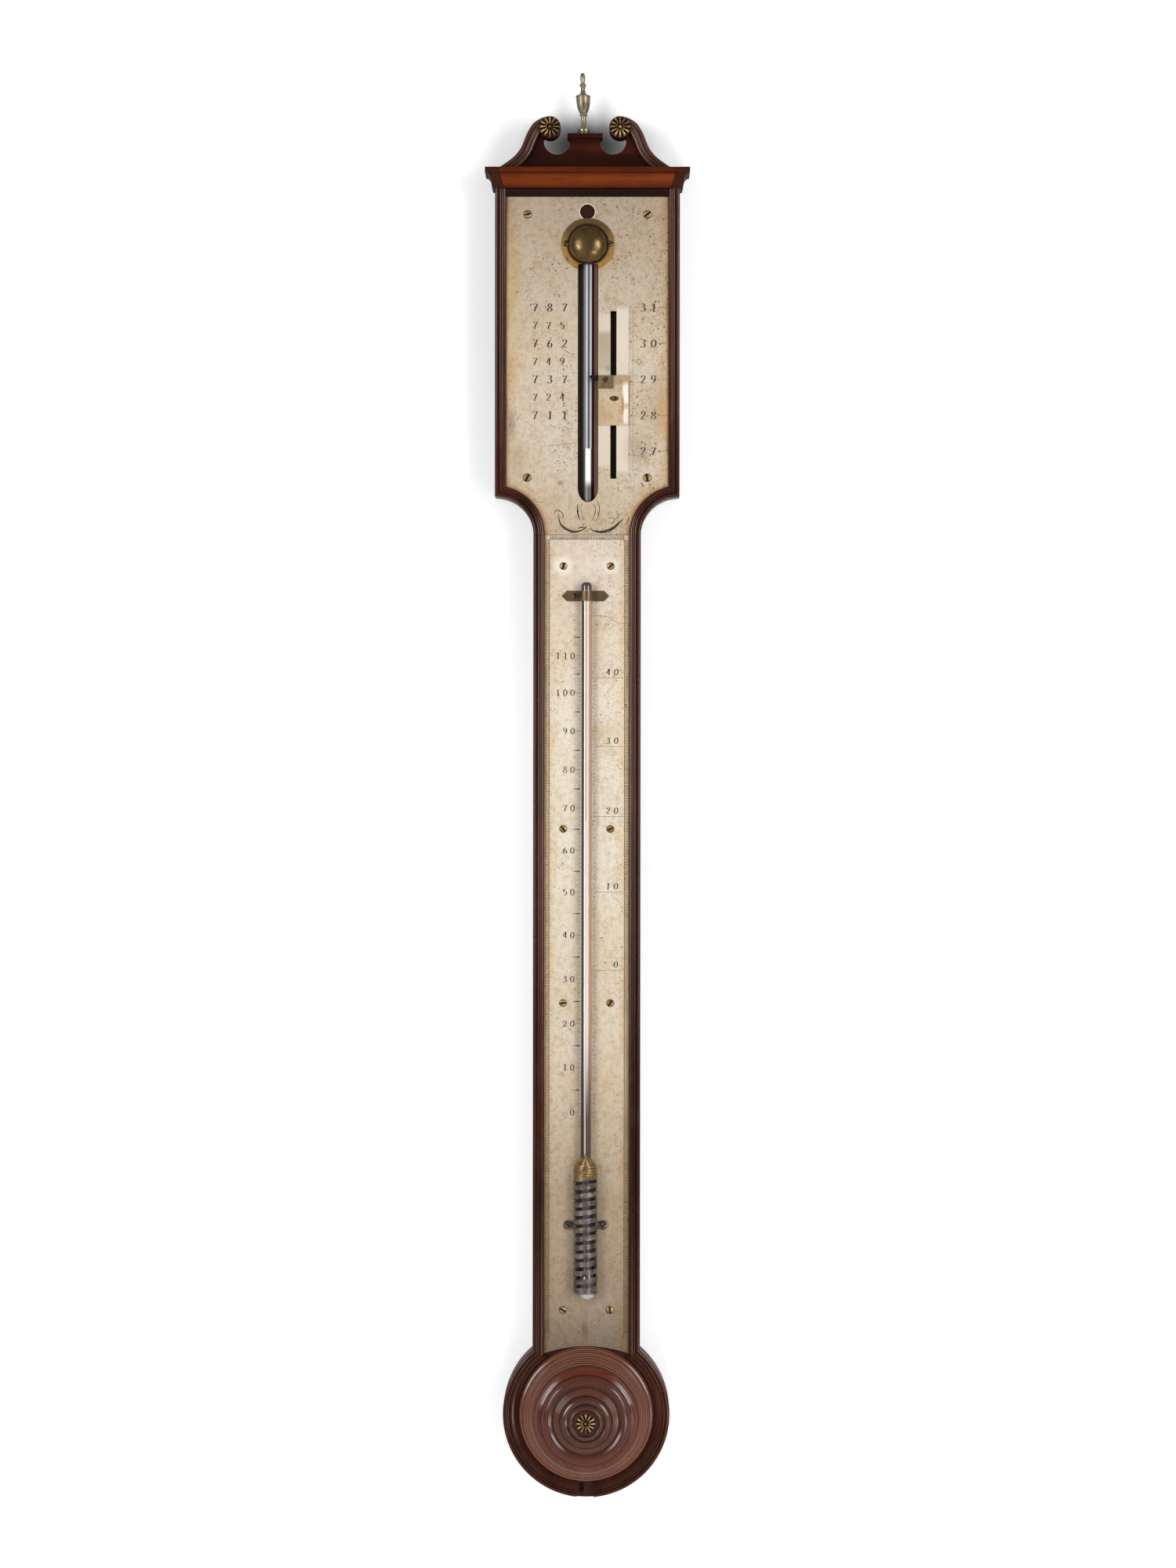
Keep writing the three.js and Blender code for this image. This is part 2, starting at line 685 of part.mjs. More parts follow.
// Register plate and thermometer plate
const innerShoulder = arc(
  headHalf, shoulderZ, innerShoulderRadius + seamClearance,
  Math.acos((faceHalf - headHalf) / (innerShoulderRadius + seamClearance)), Math.PI, arcSteps,
).filter(([, z]) => z > plateJointZ);
const innerShoulderFoot = headHalf
  - Math.sqrt((innerShoulderRadius + seamClearance) ** 2 - (plateJointZ - shoulderZ) ** 2);
const registerRight = [
  [faceHalf, plateTopZ - seamClearance],
  ...innerShoulder,
  [innerShoulderFoot, plateJointZ],
];
const registerOutline = [...registerRight, ...registerRight.map(([x, z]) => [-x, z]).reverse()];
piece('register_plate', cut(
  slab(registerOutline, boardDepth, plateFront),
  peg(0, 0, eyeHoleRadius, boardDepth - overrun, plateFront + overrun, smallFacets),
  slab(
    slotOutline(tubeSlotX, tubeSlotHalf, tubeSlotFootZ, tubeSlotTopZ, tubeSlotFootRise),
    boardDepth - overrun, plateFront + overrun,
  ),
  block(
    vernierSlotX - vernierSlotHalf, vernierSlotX + vernierSlotHalf, boardDepth - overrun, plateFront + overrun,
    vernierSlotFootZ, vernierSlotTopZ,
  ),
  ...screwPlaces.filter(([name]) => name.startsWith('register')).map(shankHole),
), silveredBrass);

const footRadius = (thermometerPlateHalf ** 2 + thermometerPlateSag ** 2) / (2 * thermometerPlateSag);
const footTipZ = baseZ + coverRadius + seamClearance;
const footSweep = Math.asin(thermometerPlateHalf / footRadius);
const thermometerTopZ = plateJointZ - seamClearance;
const thermometerHalf = Math.min(thermometerPlateHalf, trunkHalf - mouldingWidth - seamClearance);
const thermometerOutline = [
  [-thermometerHalf, thermometerTopZ],
  ...arc(
    0, footTipZ - footRadius, footRadius,
    Math.PI / 2 + footSweep, Math.PI / 2 - footSweep, arcSteps,
  ).map(([x, z]) => [Math.max(-thermometerHalf, Math.min(thermometerHalf, x)), z]),
  [thermometerHalf, thermometerTopZ],
];
const bulbHoleHalf = bulbRadius + bulbHoleClearance;
piece('thermometer_plate', cut(
  slab(thermometerOutline, boardDepth, plateFront),
  slab(
    slotOutline(
      stemX, bulbHoleHalf, bulbFootZ - bulbHoleClearance, bulbFootZ + bulbHeight + bulbHoleHalf, bulbHoleHalf,
    ),
    boardDepth - overrun, plateFront + overrun,
  ),
  ...screwPlaces.filter(([name]) => name.startsWith('thermometer')).map(shankHole),
), silveredBrass);

function screw(x, z, radius, face) {
  const shank = radius * screwShankShare;
  return turnedFacing([
    [0, face - screwLength], [shank, face - screwLength], [shank, face], [radius, face],
    [radius, face + screwHeadHeight], [0, face + screwHeadHeight],
  ], x, z, screwFacets);
}
for (const [name, x, z, radius] of screwPlaces) piece(name, screw(x, z, radius, plateFront), agedBrass);

// Cap over the head of the tube: a flat flange with a hollow dome
const domeCurve = arc(0, 0, 1, 0, Math.PI / 2, arcSteps);
const domeHollow = arc(0, 0, 1, 0, Math.PI / 2, arcSteps / 2);
const domeBase = plateFront + domeFlangeThickness;
piece('tube_cap', turnedFacing([
  [domeRadius - domeWall, plateFront],
  [domeFlangeRadius, plateFront],
  [domeFlangeRadius, domeBase],
  ...domeCurve.map(([cos, sin]) => [domeRadius * cos, domeBase + domeHeight * sin]),
  ...domeHollow.map(([cos, sin]) => [
    (domeRadius - domeWall) * cos, domeBase - domeWall + domeHeight * sin,
  ]).reverse(),
  [domeRadius - domeWall, plateFront],
], domeX, domeZ, roundFacets), agedBrass);

// Barometer tube, closed at the top and open in the cistern, with its mercury
piece('barometer_tube', turnedUpright([
  [tubeBore, tubeFootZ],
  [tubeRadius, tubeFootZ],
  [tubeRadius, tubeTopZ - tubeRadius],
  ...arc(0, tubeTopZ - tubeRadius, tubeRadius, 0, Math.PI / 2, arcSteps / 2).slice(1, -1),
  [0, tubeTopZ],
  [0, tubeTopZ - tubeRadius],
  [tubeBore, tubeTopZ - tubeRadius - tubeBore],
  [tubeBore, tubeFootZ],
], tubeX, tubeDepth, smallFacets), clearGlass);

const columnRadius = tubeBore - slideClearance;
piece('mercury_column', turnedUpright([
  [0, tubeFootZ],
  [columnRadius, tubeFootZ],
  [columnRadius, mercuryTopZ - columnRadius / 2],
  [columnRadius / 2, mercuryTopZ - columnRadius / 8],
  [0, mercuryTopZ],
], tubeX, tubeDepth, smallFacets), quicksilver);

// Boxwood cistern with a leather bag below, and the screw that lifts it
const cisternCapFootZ = cisternTopZ - cisternCapHeight;
piece('cistern_cap', cut(
  post(tubeX, tubeDepth, cisternRadius, cisternCapFootZ, cisternTopZ, roundFacets),
  post(
    tubeX, tubeDepth, tubeRadius + slideClearance, cisternCapFootZ - overrun, cisternTopZ + overrun, smallFacets,
  ),
), boxwood);
piece('cistern_body', turnedUpright([
  [cisternBore, cisternLipZ],
  [cisternRadius, cisternLipZ],
  [cisternRadius, cisternCapFootZ],
  [cisternBore, cisternCapFootZ],
  [cisternBore, cisternLipZ],
], tubeX, tubeDepth, roundFacets), boxwood);
const cupBore = cisternRadius - cisternThreadWall;
piece('cistern_foot', turnedUpright([
  [screwRadius + slideClearance, cisternFootZ],
  [cisternRadius, cisternFootZ],
  [cisternRadius, cisternLipZ],
  [cupBore, cisternLipZ],
  [cupBore, cisternFootZ + cisternFloor],
  [screwRadius + slideClearance, cisternFootZ + cisternFloor],
  [screwRadius + slideClearance, cisternFootZ],
], tubeX, tubeDepth, roundFacets), boxwood);
const bagRim = cupBore - slideClearance;
const bagFoot = cupBore * leatherFootShare;
piece('cistern_leather', turnedUpright([
  [0, leatherFootZ],
  [bagFoot, leatherFootZ],
  [bagRim, leatherRimZ - leatherThickness],
  [bagRim, leatherRimZ],
  [bagRim - leatherThickness, leatherRimZ],
  [bagFoot - leatherThickness, leatherFootZ + leatherThickness],
  [0, leatherFootZ + leatherThickness],
], tubeX, tubeDepth, roundFacets), kid);
const poolRadius = bagFoot - leatherThickness - slideClearance;
piece('cistern_mercury', turnedUpright([
  [0, leatherFootZ + leatherThickness + slideClearance],
  [poolRadius, leatherFootZ + leatherThickness + slideClearance],
  [poolRadius, cisternLipZ],
  [cisternBore - slideClearance, cisternLipZ + slideClearance],
  [cisternBore - slideClearance, mercuryLevelZ],
  [tubeRadius + slideClearance, mercuryLevelZ],
  [tubeRadius + slideClearance, tubeFootZ - slideClearance],
  [0, tubeFootZ - slideClearance],
], tubeX, tubeDepth, smallFacets), quicksilver);
piece('lifting_pad', post(tubeX, tubeDepth, padRadius, padFootZ, padTopZ, roundFacets), boxwood);
piece('portable_screw', join(
  post(
    tubeX, tubeDepth, screwRadius, portableScrewFootZ + screwKeyLength, padFootZ - padGap, smallFacets,
  ),
  block(
    tubeX - screwKeyHalf, tubeX + screwKeyHalf, tubeDepth - screwKeyHalf, tubeDepth + screwKeyHalf,
    portableScrewFootZ, portableScrewFootZ + screwKeyLength + screwKeyHalf,
  ),
), agedBrass);

// Turned cover over the cistern
piece('cistern_cover', turnedFacing([
  ...coverRadiusShares.map((out, i) => [out * coverRadius, boardDepth + coverRiseShares[i] * coverHeight]),
  [0, boardDepth + coverRiseShares.at(-1) * coverHeight],
  [0, boardDepth + coverHollowRiseShares[0] * coverHeight],
  ...coverHollowRadiusShares.map(
    (out, i) => [out * coverRadius, boardDepth + coverHollowRiseShares[i] * coverHeight],
  ),
  [coverRadius, boardDepth],
], 0, baseZ, coverFacets), turnedWood);
const rosetteSeat = coverFace - coverHeight * (1 - coverRiseShares.at(-1));
piece('rosette_cover', rosette(coverRosetteRadius, rosetteSeat, 0, baseZ), darkBrass);

// Vernier: a slider block behind the plate carries the scale and the index in front of it
const vernier = new THREE.Group();
barometer.add(vernier);
const vernierBack = plateFront + slideClearance;
const vernierFront = vernierBack + vernierThickness;
const sliderFront = boardDepth - slideClearance;
piece('vernier_plate', block(
  vernierLeft, vernierRight, vernierBack, vernierFront, vernierFootZ, vernierTopZ,
), silveredBrass, vernier);
piece('vernier_index', slab([
  [pointerTip, vernierTopZ],
  [pointerTip, vernierTopZ - pointerHeight],
  [indexLeft, vernierTopZ - pointerHeight],
  [indexLeft, indexFootZ],
  [indexRight, indexFootZ],
  [indexRight, vernierTopZ],
], vernierFront, vernierFront + indexThickness), silveredBrass, vernier);
piece('vernier_slider', join(
  block(
    vernierSlotX - sliderHalfWidth, vernierSlotX + sliderHalfWidth, sliderBack, sliderFront,
    studZ - sliderHalfHeight, studZ + sliderHalfHeight,
  ),
  peg(vernierSlotX, studZ, studRadius, sliderBack + overrun, vernierBack, smallFacets),
), agedBrass, vernier);
const springRise = sliderBack - recessBack - 2 * slideClearance - springThickness;
const springSpan = sliderHalfHeight - springThickness;
const springArc = arc(0, 0, 1, 0, Math.PI, arcSteps);
const springProfile = [
  ...springArc.map(([cos, sin]) => [springSpan * cos, springThickness + springRise * sin]),
  ...springArc.map(([cos, sin]) => [springSpan * cos, springRise * sin]).reverse(),
];
const springAt = (x) => (u, v) => [x, -(recessBack + slideClearance + v), studZ + u];
piece('vernier_spring', loft(springProfile, [
  springAt(vernierSlotX - springHalfWidth),
  springAt(vernierSlotX + springHalfWidth),
]), springSteel, vernier);

// Thermometer: glass stem and bulb with the mercury thread
const bulbTopZ = bulbFootZ + bulbHeight;
const bulbEnd = arc(0, bulbFootZ + bulbRadius, bulbRadius, -Math.PI / 2, 0, arcSteps / 2);
const wellRadius = bulbRadius - bulbWall;
const wellEnd = arc(0, bulbFootZ + bulbRadius, wellRadius, -Math.PI / 2, 0, arcSteps / 2);
piece('thermometer_glass', turnedUpright([
  ...bulbEnd,
  [bulbRadius, bulbTopZ - bulbRadius],
  [stemRadius, bulbTopZ],
  [stemRadius, stemTopZ - stemRadius / 2],
  [stemRadius / 2, stemTopZ],
  [stemBore, stemTopZ],
  [stemBore, bulbTopZ - bulbWall],
  [wellRadius, bulbTopZ - bulbRadius],
  ...wellEnd.reverse(),
], stemX, stemDepth, smallFacets), clearGlass);
const fill = wellRadius - slideClearance;
piece('thermometer_mercury', turnedUpright([
  ...arc(0, bulbFootZ + bulbRadius, fill, -Math.PI / 2, 0, arcSteps / 2),
  [fill, bulbTopZ - bulbRadius - slideClearance],
  [threadRadius, bulbTopZ - bulbWall - bulbRadius / 4],
  [threadRadius, threadTopZ],
  [0, threadTopZ],
], stemX, stemDepth, smallFacets), quicksilver);

// Clip: a pointed brass strap arched over the stem
const clipInner = stemRadius + slideClearance;
const clipOuter = clipInner + sheetThickness;
const strapSide = [
  [clipLeft, plateFront],
  [stemX - clipInner, plateFront],
  ...arc(stemX, stemDepth, clipInner, Math.PI, 0, arcSteps),
  [stemX + clipInner, plateFront],
  [clipRight, plateFront],
  [clipRight, plateFront + sheetThickness],
  [stemX + clipOuter, plateFront + sheetThickness],
  ...arc(stemX, stemDepth, clipOuter, 0, Math.PI, arcSteps),
  [stemX - clipOuter, plateFront + sheetThickness],
  [clipLeft, plateFront + sheetThickness],
];
const strapAt = (z) => (u, v) => [u, -v, z];
const clipMiddle = clipTopZ - clipHeight / 2;
piece('thermometer_clip', common(
  loft(strapSide, [strapAt(clipTopZ - clipHeight), strapAt(clipTopZ)]),
  slab([
    [clipLeft, clipMiddle],
    [clipLeft + clipPoint, clipTopZ - clipHeight],
    [clipRight - clipPoint, clipTopZ - clipHeight],
    [clipRight, clipMiddle],
    [clipRight - clipPoint, clipTopZ],
    [clipLeft + clipPoint, clipTopZ],
  ], boardDepth, stemDepth + clipOuter + overrun),
), agedBrass);

// Guard: a half round of sheet on two lugs, pierced with slanting slots, with a pointed hood
const guardAxis = plateFront + guardStand;
const guardInner = guardHalf - guardSheet;
const guardSide = [
  [guardX - guardHalf, plateFront],
  ...arc(guardX, guardAxis, guardHalf, Math.PI, 0, guardSteps),
  [guardX + guardHalf, plateFront],
  [guardX + guardInner, plateFront],
  ...arc(guardX, guardAxis, guardInner, 0, Math.PI, guardSteps),
  [guardX - guardInner, plateFront],
];
const guardFront = guardAxis + guardHalf + overrun;
const hoodHeight = guardTipZ - guardShoulderZ;
const hoodShares = [[0, 1], [0.1, 0.9], [0.22, 0.8], [0.42, 0.66], [0.66, 0.5], [0.88, 0.28], [1, 0]];
const hoodRight = hoodShares.map(([out, up]) => [out * (guardHalf + overrun), guardShoulderZ + up * hoodHeight]);
const hoodOutline = [
  [-guardHalf - overrun, guardFootZ],
  [guardHalf + overrun, guardFootZ],
  ...hoodRight.slice(1).reverse(),
  ...hoodRight.map(([x, z]) => [-x, z]),
].map(([x, z]) => [x + guardX, z]);
const guardSlotHalf = guardHalf + overrun;
const guardSlotCuts = [];
for (let i = 0; i < guardSlots; i += 1) {
  const z = guardFirstSlotZ - i * guardSlotPitch;
  const top = z + guardSlotHeight / 2;
  const foot = z - guardSlotHeight / 2;
  guardSlotCuts.push(slab([
    [guardX - guardSlotHalf, foot],
    [guardX + guardSlotHalf, foot + guardSlotRise],
    [guardX + guardSlotHalf, top + guardSlotRise],
    [guardX - guardSlotHalf, top],
  ], guardAxis + guardRim, guardFront));
}
function lug(side) {
  const tab = block(
    Math.min(side * guardInner, side * lugX) + guardX, Math.max(side * guardInner, side * lugX) + guardX,
    plateFront, plateFront + guardSheet, lugZ - lugRadius * leatherFootShare, lugZ + lugRadius * leatherFootShare,
  );
  return join(
    tab,
    peg(guardX + side * lugX, lugZ, lugRadius, plateFront, plateFront + guardSheet, smallFacets),
  );
}
function lugHole(side) {
  return peg(guardX + side * lugX, lugZ, lugHoleRadius, boardDepth, guardFront, screwFacets);
}
piece('bulb_guard', cut(
  join(
    common(loft(guardSide, [strapAt(guardFootZ), strapAt(guardTipZ)]), slab(hoodOutline, boardDepth, guardFront)),
    lug(-1), lug(1),
  ),
  ...guardSlotCuts, lugHole(-1), lugHole(1),
), agedBrass);

// Hanging plate let into the back, with its eye behind the plinth, and its two screws
const hangOutline = [
  [-hangHalf, hangFootZ],
  [hangHalf, hangFootZ],
  ...arc(0, hangZ, hangHalf, 0, Math.PI, 2 * arcSteps),
];
const hangScrewHole = (z) =>
  peg(0, z, hangScrewRadius * screwShankShare + slideClearance, -overrun, hangThickness + overrun, screwFacets);
const hangScrewSink = (z) =>
  peg(0, z, hangScrewRadius + slideClearance, -overrun, screwHeadHeight + slideClearance, screwFacets);
piece('hanging_plate', cut(
  slab(hangOutline, 0, hangThickness),
  peg(0, hangZ, hangEyeRadius, -overrun, hangThickness + overrun, roundFacets),
  ...hangScrewZs.flatMap((z) => [hangScrewHole(z), hangScrewSink(z)]),
), agedBrass);
hangScrewZs.forEach((z, row) => {
  const shank = hangScrewRadius * screwShankShare;
  piece(`hanging_screw_${row + 1}`, turnedFacing([
    [0, 0], [hangScrewRadius, 0], [hangScrewRadius, screwHeadHeight], [shank, screwHeadHeight],
    [shank, hangScrewLength], [0, hangScrewLength],
  ], 0, z, screwFacets), agedBrass);
});

const group = new THREE.Group();
barometer.position.z = -hangZ;
group.add(barometer);

export default group;
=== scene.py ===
import math

import bmesh
import bpy
from mathutils import Euler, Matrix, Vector


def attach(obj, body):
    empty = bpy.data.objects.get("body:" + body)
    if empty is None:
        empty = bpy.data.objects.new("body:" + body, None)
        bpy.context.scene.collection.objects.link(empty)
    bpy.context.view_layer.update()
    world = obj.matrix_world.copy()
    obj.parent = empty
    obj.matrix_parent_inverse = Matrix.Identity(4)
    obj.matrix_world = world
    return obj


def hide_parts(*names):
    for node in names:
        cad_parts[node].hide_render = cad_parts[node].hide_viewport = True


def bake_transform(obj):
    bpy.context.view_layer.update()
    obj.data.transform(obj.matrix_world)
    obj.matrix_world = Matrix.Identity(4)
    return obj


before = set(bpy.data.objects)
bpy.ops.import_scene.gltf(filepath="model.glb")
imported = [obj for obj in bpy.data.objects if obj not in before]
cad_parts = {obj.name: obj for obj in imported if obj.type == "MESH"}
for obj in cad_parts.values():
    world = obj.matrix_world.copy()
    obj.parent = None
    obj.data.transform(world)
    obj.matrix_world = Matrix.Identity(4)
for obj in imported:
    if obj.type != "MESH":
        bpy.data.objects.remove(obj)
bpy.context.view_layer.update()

# Sizes are in millimetres, heights from the round hole of the register plate, depths from the
# wall towards the viewer. place() turns them into the frame's metres.
MM = 0.001
HANG = 41.0
BOARD = 21.0
HEAD = 65.35
TRUNK = 38.0
BASE_R = 59.0
BASE_Z = -850.8
CASE_TOP = 30.3
SHOULDER_Z = -228.8
MOULD_W = 7.65
MOULD_H = 5.5
BAND_W = 11.3
PLATE = BOARD + 1.6
GAP = 0.25
CORNICE_H = 13.9
CORNICE_FOOT = CASE_TOP - CORNICE_H
PED_X = -1.8
PED_BACK = 10.0
PED_FRONT = 22.0
DOME = (0.4, -23.3)
TUBE_X = -0.7
TUBE_DEPTH = 16.0
TUBE_LEAN = 1.4
NOTCH_HALF = 5.85
STEM_X = 0.6
STEM_R = 3.8
STEM_LEAN = 1.0
STEM_DEPTH = PLATE + 0.3 + STEM_R
COVER_R = 47.5


def place(x, depth, z):
    return Vector((x * MM, -depth * MM, (z - HANG) * MM))


# Materials. A colour is six hex digits, a linear grey, or three linear numbers. SLOTS keeps the
# slot that each finish stands for.
SLOTS = {}


def rgb(tone):
    """Linear numbers of a colour."""
    if isinstance(tone, float):
        return (tone,) * 3
    if isinstance(tone, tuple):
        return tone
    parts = [int(tone[i:i + 2], 16) / 255 for i in (0, 2, 4)]
    return tuple(c / 12.92 if c <= 0.04045 else ((c + 0.055) / 1.055) ** 2.4 for c in parts)


def dimmed(tone, share):
    return tuple(c * share for c in rgb(tone))


class Value:
    """An output in a material. Sums with it become Math nodes."""

    def __init__(self, paint, socket):
        self.paint, self.socket = paint, socket

    def __add__(self, other):
        return self.paint.maths("ADD", self, other)

    def __sub__(self, other):
        return self.paint.maths("SUBTRACT", self, other)

    def __rsub__(self, other):
        return self.paint.maths("SUBTRACT", other, self)

    def __mul__(self, other):
        return self.paint.maths("MULTIPLY", self, other)

    def __rmul__(self, other):
        return self.paint.maths("MULTIPLY", other, self)

    def __truediv__(self, other):
        return self.paint.maths("DIVIDE", self, other)

    def __abs__(self):
        return self.paint.maths("ABSOLUTE", self)

    def linear(self, low, high, floor=0.0, top=1.0, kind="LINEAR"):
        return self.paint.get("Result", "ShaderNodeMapRange", {
            "Value": self, "From Min": low, "From Max": high, "To Min": floor, "To Max": top,
        }, interpolation_type=kind)

    def step(self, low, high, floor=0.0, top=1.0):
        return self.linear(low, high, floor, top, "SMOOTHSTEP")

    def within(self, low, high, soft):
        """One between two limits, nothing outside them."""
        return self.step(low - soft, low + soft) * self.step(high + soft, high - soft)


class Paint:
    """A node tree with short calls for what the finishes here share, and its colour so far."""

    def __init__(self, name, owner=None, shader="Principled BSDF"):
        self.owner = owner or bpy.data.materials.new(name)
        self.owner.use_nodes = True
        self.tree = self.owner.node_tree
        self.shader = self.tree.nodes[shader]
        self.where = self.get("Object", "ShaderNodeTexCoord")
        self.x = self.along("X") * 1000
        self.level = self.along("Z") * 1000 + HANG

    def node(self, kind, inputs=None, **props):
        node = self.tree.nodes.new(kind)
        for key, value in props.items():
            setattr(node, key, value)
        for key, value in (inputs or {}).items():
            self.put(node.inputs[key], value)
        return node

    def get(self, output, kind, inputs=None, **props):
        return Value(self, self.node(kind, inputs, **props).outputs[output])

    def put(self, socket, value):
        if isinstance(value, Value):
            self.tree.links.new(value.socket, socket)
        else:
            socket.default_value = (*rgb(value), 1) if socket.type == "RGBA" else value

    def along(self, axis):
        return self.get(axis, "ShaderNodeSeparateXYZ", {"Vector": self.where})

    def stretch(self, *scale, turn=(0, 0, 0)):
        return self.get("Vector", "ShaderNodeMapping", {"Vector": self.where, "Rotation": turn, "Scale": scale})

    def noise(self, scale, detail=3.0, rough=0.5, at=None, distort=0.0, output="Fac"):
        return self.get(output, "ShaderNodeTexNoise", {
            "Vector": at or self.where, "Scale": scale, "Detail": detail, "Roughness": rough,
            "Distortion": distort,
        })

    def cells(self, scale, at=None):
        """Distance to the next cell's point, and that cell's own colour."""
        node = self.node("ShaderNodeTexVoronoi", {"Vector": at or self.where, "Scale": scale})
        return Value(self, node.outputs["Distance"]), Value(self, node.outputs["Color"])

    def ramp(self, fac, stops, low=0.0, high=1.0):
        """Colours for a value that runs from low to high; stops are [place, colour]."""
        node = self.node("ShaderNodeValToRGB", {"Fac": fac})
        elements = node.color_ramp.elements
        while len(elements) < len(stops):
            elements.new(0.5)
        for element, (at, tone) in zip(elements, stops):
            element.position = (at - low) / (high - low)
            element.color = (*rgb(tone), 1)
        return Value(self, node.outputs["Color"])

    def mix(self, fac, a, b, blend="MIX"):
        node = self.node("ShaderNodeMix", data_type="RGBA", blend_type=blend, clamp_factor=True)
        for index, value in ((0, fac), (6, a), (7, b)):
            self.put(node.inputs[index], value)
        return Value(self, node.outputs[2])

    def lay(self, fac, tone):
        self.color = self.mix(fac, self.color, tone)

    def wash(self, fac, tone):
        self.color = self.mix(fac, self.color, tone, "MULTIPLY")

    def maths(self, operation, a, b=0.0):
        return self.get(0, "ShaderNodeMath", {0: a, 1: b}, operation=operation)

    def vector(self, operation, a, b):
        return self.get(0, "ShaderNodeVectorMath", {0: a, 1: b}, operation=operation)

    def size(self, vector):
        return self.get("Value", "ShaderNodeVectorMath", {0: vector}, operation="LENGTH")

    def radius(self, x, z):
        """Millimetres from an axis that stands square to the wall."""
        offset = self.vector("SUBTRACT", self.where, tuple(place(x, 0, z)))
        return self.size(self.vector("MULTIPLY", offset, (1000, 0, 1000)))

    def spot(self, x, z, reach_x, reach_z, soft):
        """One inside an oval round a point."""
        away = {"X": (self.x - x) / reach_x, "Y": (self.level - z) / reach_z}
        return self.size(self.get(0, "ShaderNodeCombineXYZ", away)).step(1 + soft, 1 - soft)

    def ray(self, kind):
        return self.get(f"Is {kind} Ray", "ShaderNodeLightPath")

    def bump(self, *layers):
        normal = {}
        for height, distance in layers:
            inputs = {"Height": height, "Distance": distance, "Strength": 1.0, **normal}
            normal = {"Normal": self.get("Normal", "ShaderNodeBump", inputs)}
        self.put(self.shader.inputs["Normal"], normal["Normal"])

    def finish(self, slot=None, **sockets):
        self.put(self.shader.inputs[0], self.color)
        for key, value in sockets.items():
            self.put(self.shader.inputs[key.replace("_", " ")], value)
        SLOTS[self.owner.name] = slot
        return self.owner


def wood(name, dark, mid, light, grain, rough=0.26, coat=0.5, figure=1.0, shine=0.5, ends=None,
         tube_groove=False, slot="mahogany"):
    """Polished wood; its figure runs along the axis grain. ends is where a cornice is mitred; there it
    also gets painted light and shade down its height. tube_groove adds the joint below the head and
    painted light and shade in the groove beside the tube."""
    p = Paint(name)
    run = {"X": (0.05, 1, 1), "Z": (1, 1, 0.05)}[grain]
    pores = p.noise(1.0, 4.0, 0.7, p.stretch(*[v * 800 for v in run]))
    bands = p.noise(1.0, 3.0, 0.55, p.stretch(*[v * 80 for v in run]), 0.4)
    tone = bands * (0.65 * figure) + p.noise(16.0, 3.0, 0.6) * 0.35
    p.color = p.ramp(tone, ((0.3, dark), (0.48, mid), (0.7, light)))
    p.lay(pores.step(0.56, 0.72, 0, 0.6), dimmed(dark, 0.4))
    if ends:
        # Painted light and shade down the cornice's height: brightest across the cove, darker at its foot, in a
        # line where the cove meets the band above, and towards the top.
        cornice_light_and_shade = ((0, 0.55), (0.16, 0.72), (0.45, 1.0), (0.66, 0.86), (0.71, 0.5), (0.76, 0.8), (1, 0.66))
        side = abs(p.x) - p.level.linear(CORNICE_FOOT, CASE_TOP, ends - 4.5, ends)
        p.wash(1.0, p.ramp(p.level.linear(CORNICE_FOOT, CASE_TOP), cornice_light_and_shade))
        p.lay(side.step(-0.15, 0.15), p.mix(bands, "4c2416", "2c140c"))
        p.lay(side.within(-0.2, 0.2, 0.15), dimmed(dark, 0.2))
    if tube_groove:
        # Painted light on the groove's wall to the right of the tube; to its left, a painted gradient from
        # shade to grey stands in for the glass's dark edge.
        beside_tube = p.level.within(-212, -30, 1.5)
        p.lay(p.level.within(SHOULDER_Z - 0.3, SHOULDER_Z + 0.1, 0.15), dimmed(dark, 0.15))
        p.lay(p.x.within(4.7, 8.0, 0.2) * beside_tube, p.mix(pores, "725348", "543b33"))
        p.lay(p.x.within(-7.6, -3.0, 0.1) * beside_tube,
              p.ramp(p.x.linear(-7.3, -3.4), ((0, "161414"), (0.3, "403c3a"), (1, "76706c"))))
    p.bump((pores, 0.000002))
    gloss = p.noise(40.0, 3.0, 0.6).step(0.35, 0.7, rough - 0.04, rough + 0.08)
    return p.finish(slot, Roughness=gloss, Coat_Weight=coat, Coat_Roughness=0.1, IOR=1.5,
                    Specular_IOR_Level=shine, Specular_Tint=(1, 0.78, 0.66), Coat_Tint=(1, 0.86, 0.78))


def brass(name, base, tarnish, bright, rough=0.34, metal=0.9, stain=0.5, wear_and_shine=False, slot="dark_brass"):
    """Old brass. Where the mesh gives each point a value, it runs from dark tarnish to bright: partly rubbed
    bright, partly painted highlights on ridges and painted shade in rims and gaps.
    """
    p = Paint(name)
    patches = p.noise(120.0, 4.0, 0.65, distort=0.3)
    p.color = p.mix(patches.step(0.62 - 0.3 * stain, 0.72), base, tarnish)
    p.lay(p.cells(900.0)[0].step(0.16, 0.08, 0, 0.5), tarnish)
    if wear_and_shine:
        worn_and_lit = p.get("Fac", "ShaderNodeAttribute", attribute_name="wear_and_shine").step(0.55, 0.98)
        p.color = p.mix(worn_and_lit, tarnish, p.mix(patches.step(0.42, 0.6), bright, base))
    p.bump((p.noise(1.0, 3.0, 0.6, p.stretch(2200, 2200, 160)), 0.00001), (patches, 0.00003))
    return p.finish(slot, Roughness=patches.step(0.3, 0.7, rough - 0.08, rough + 0.16), Metallic=metal)


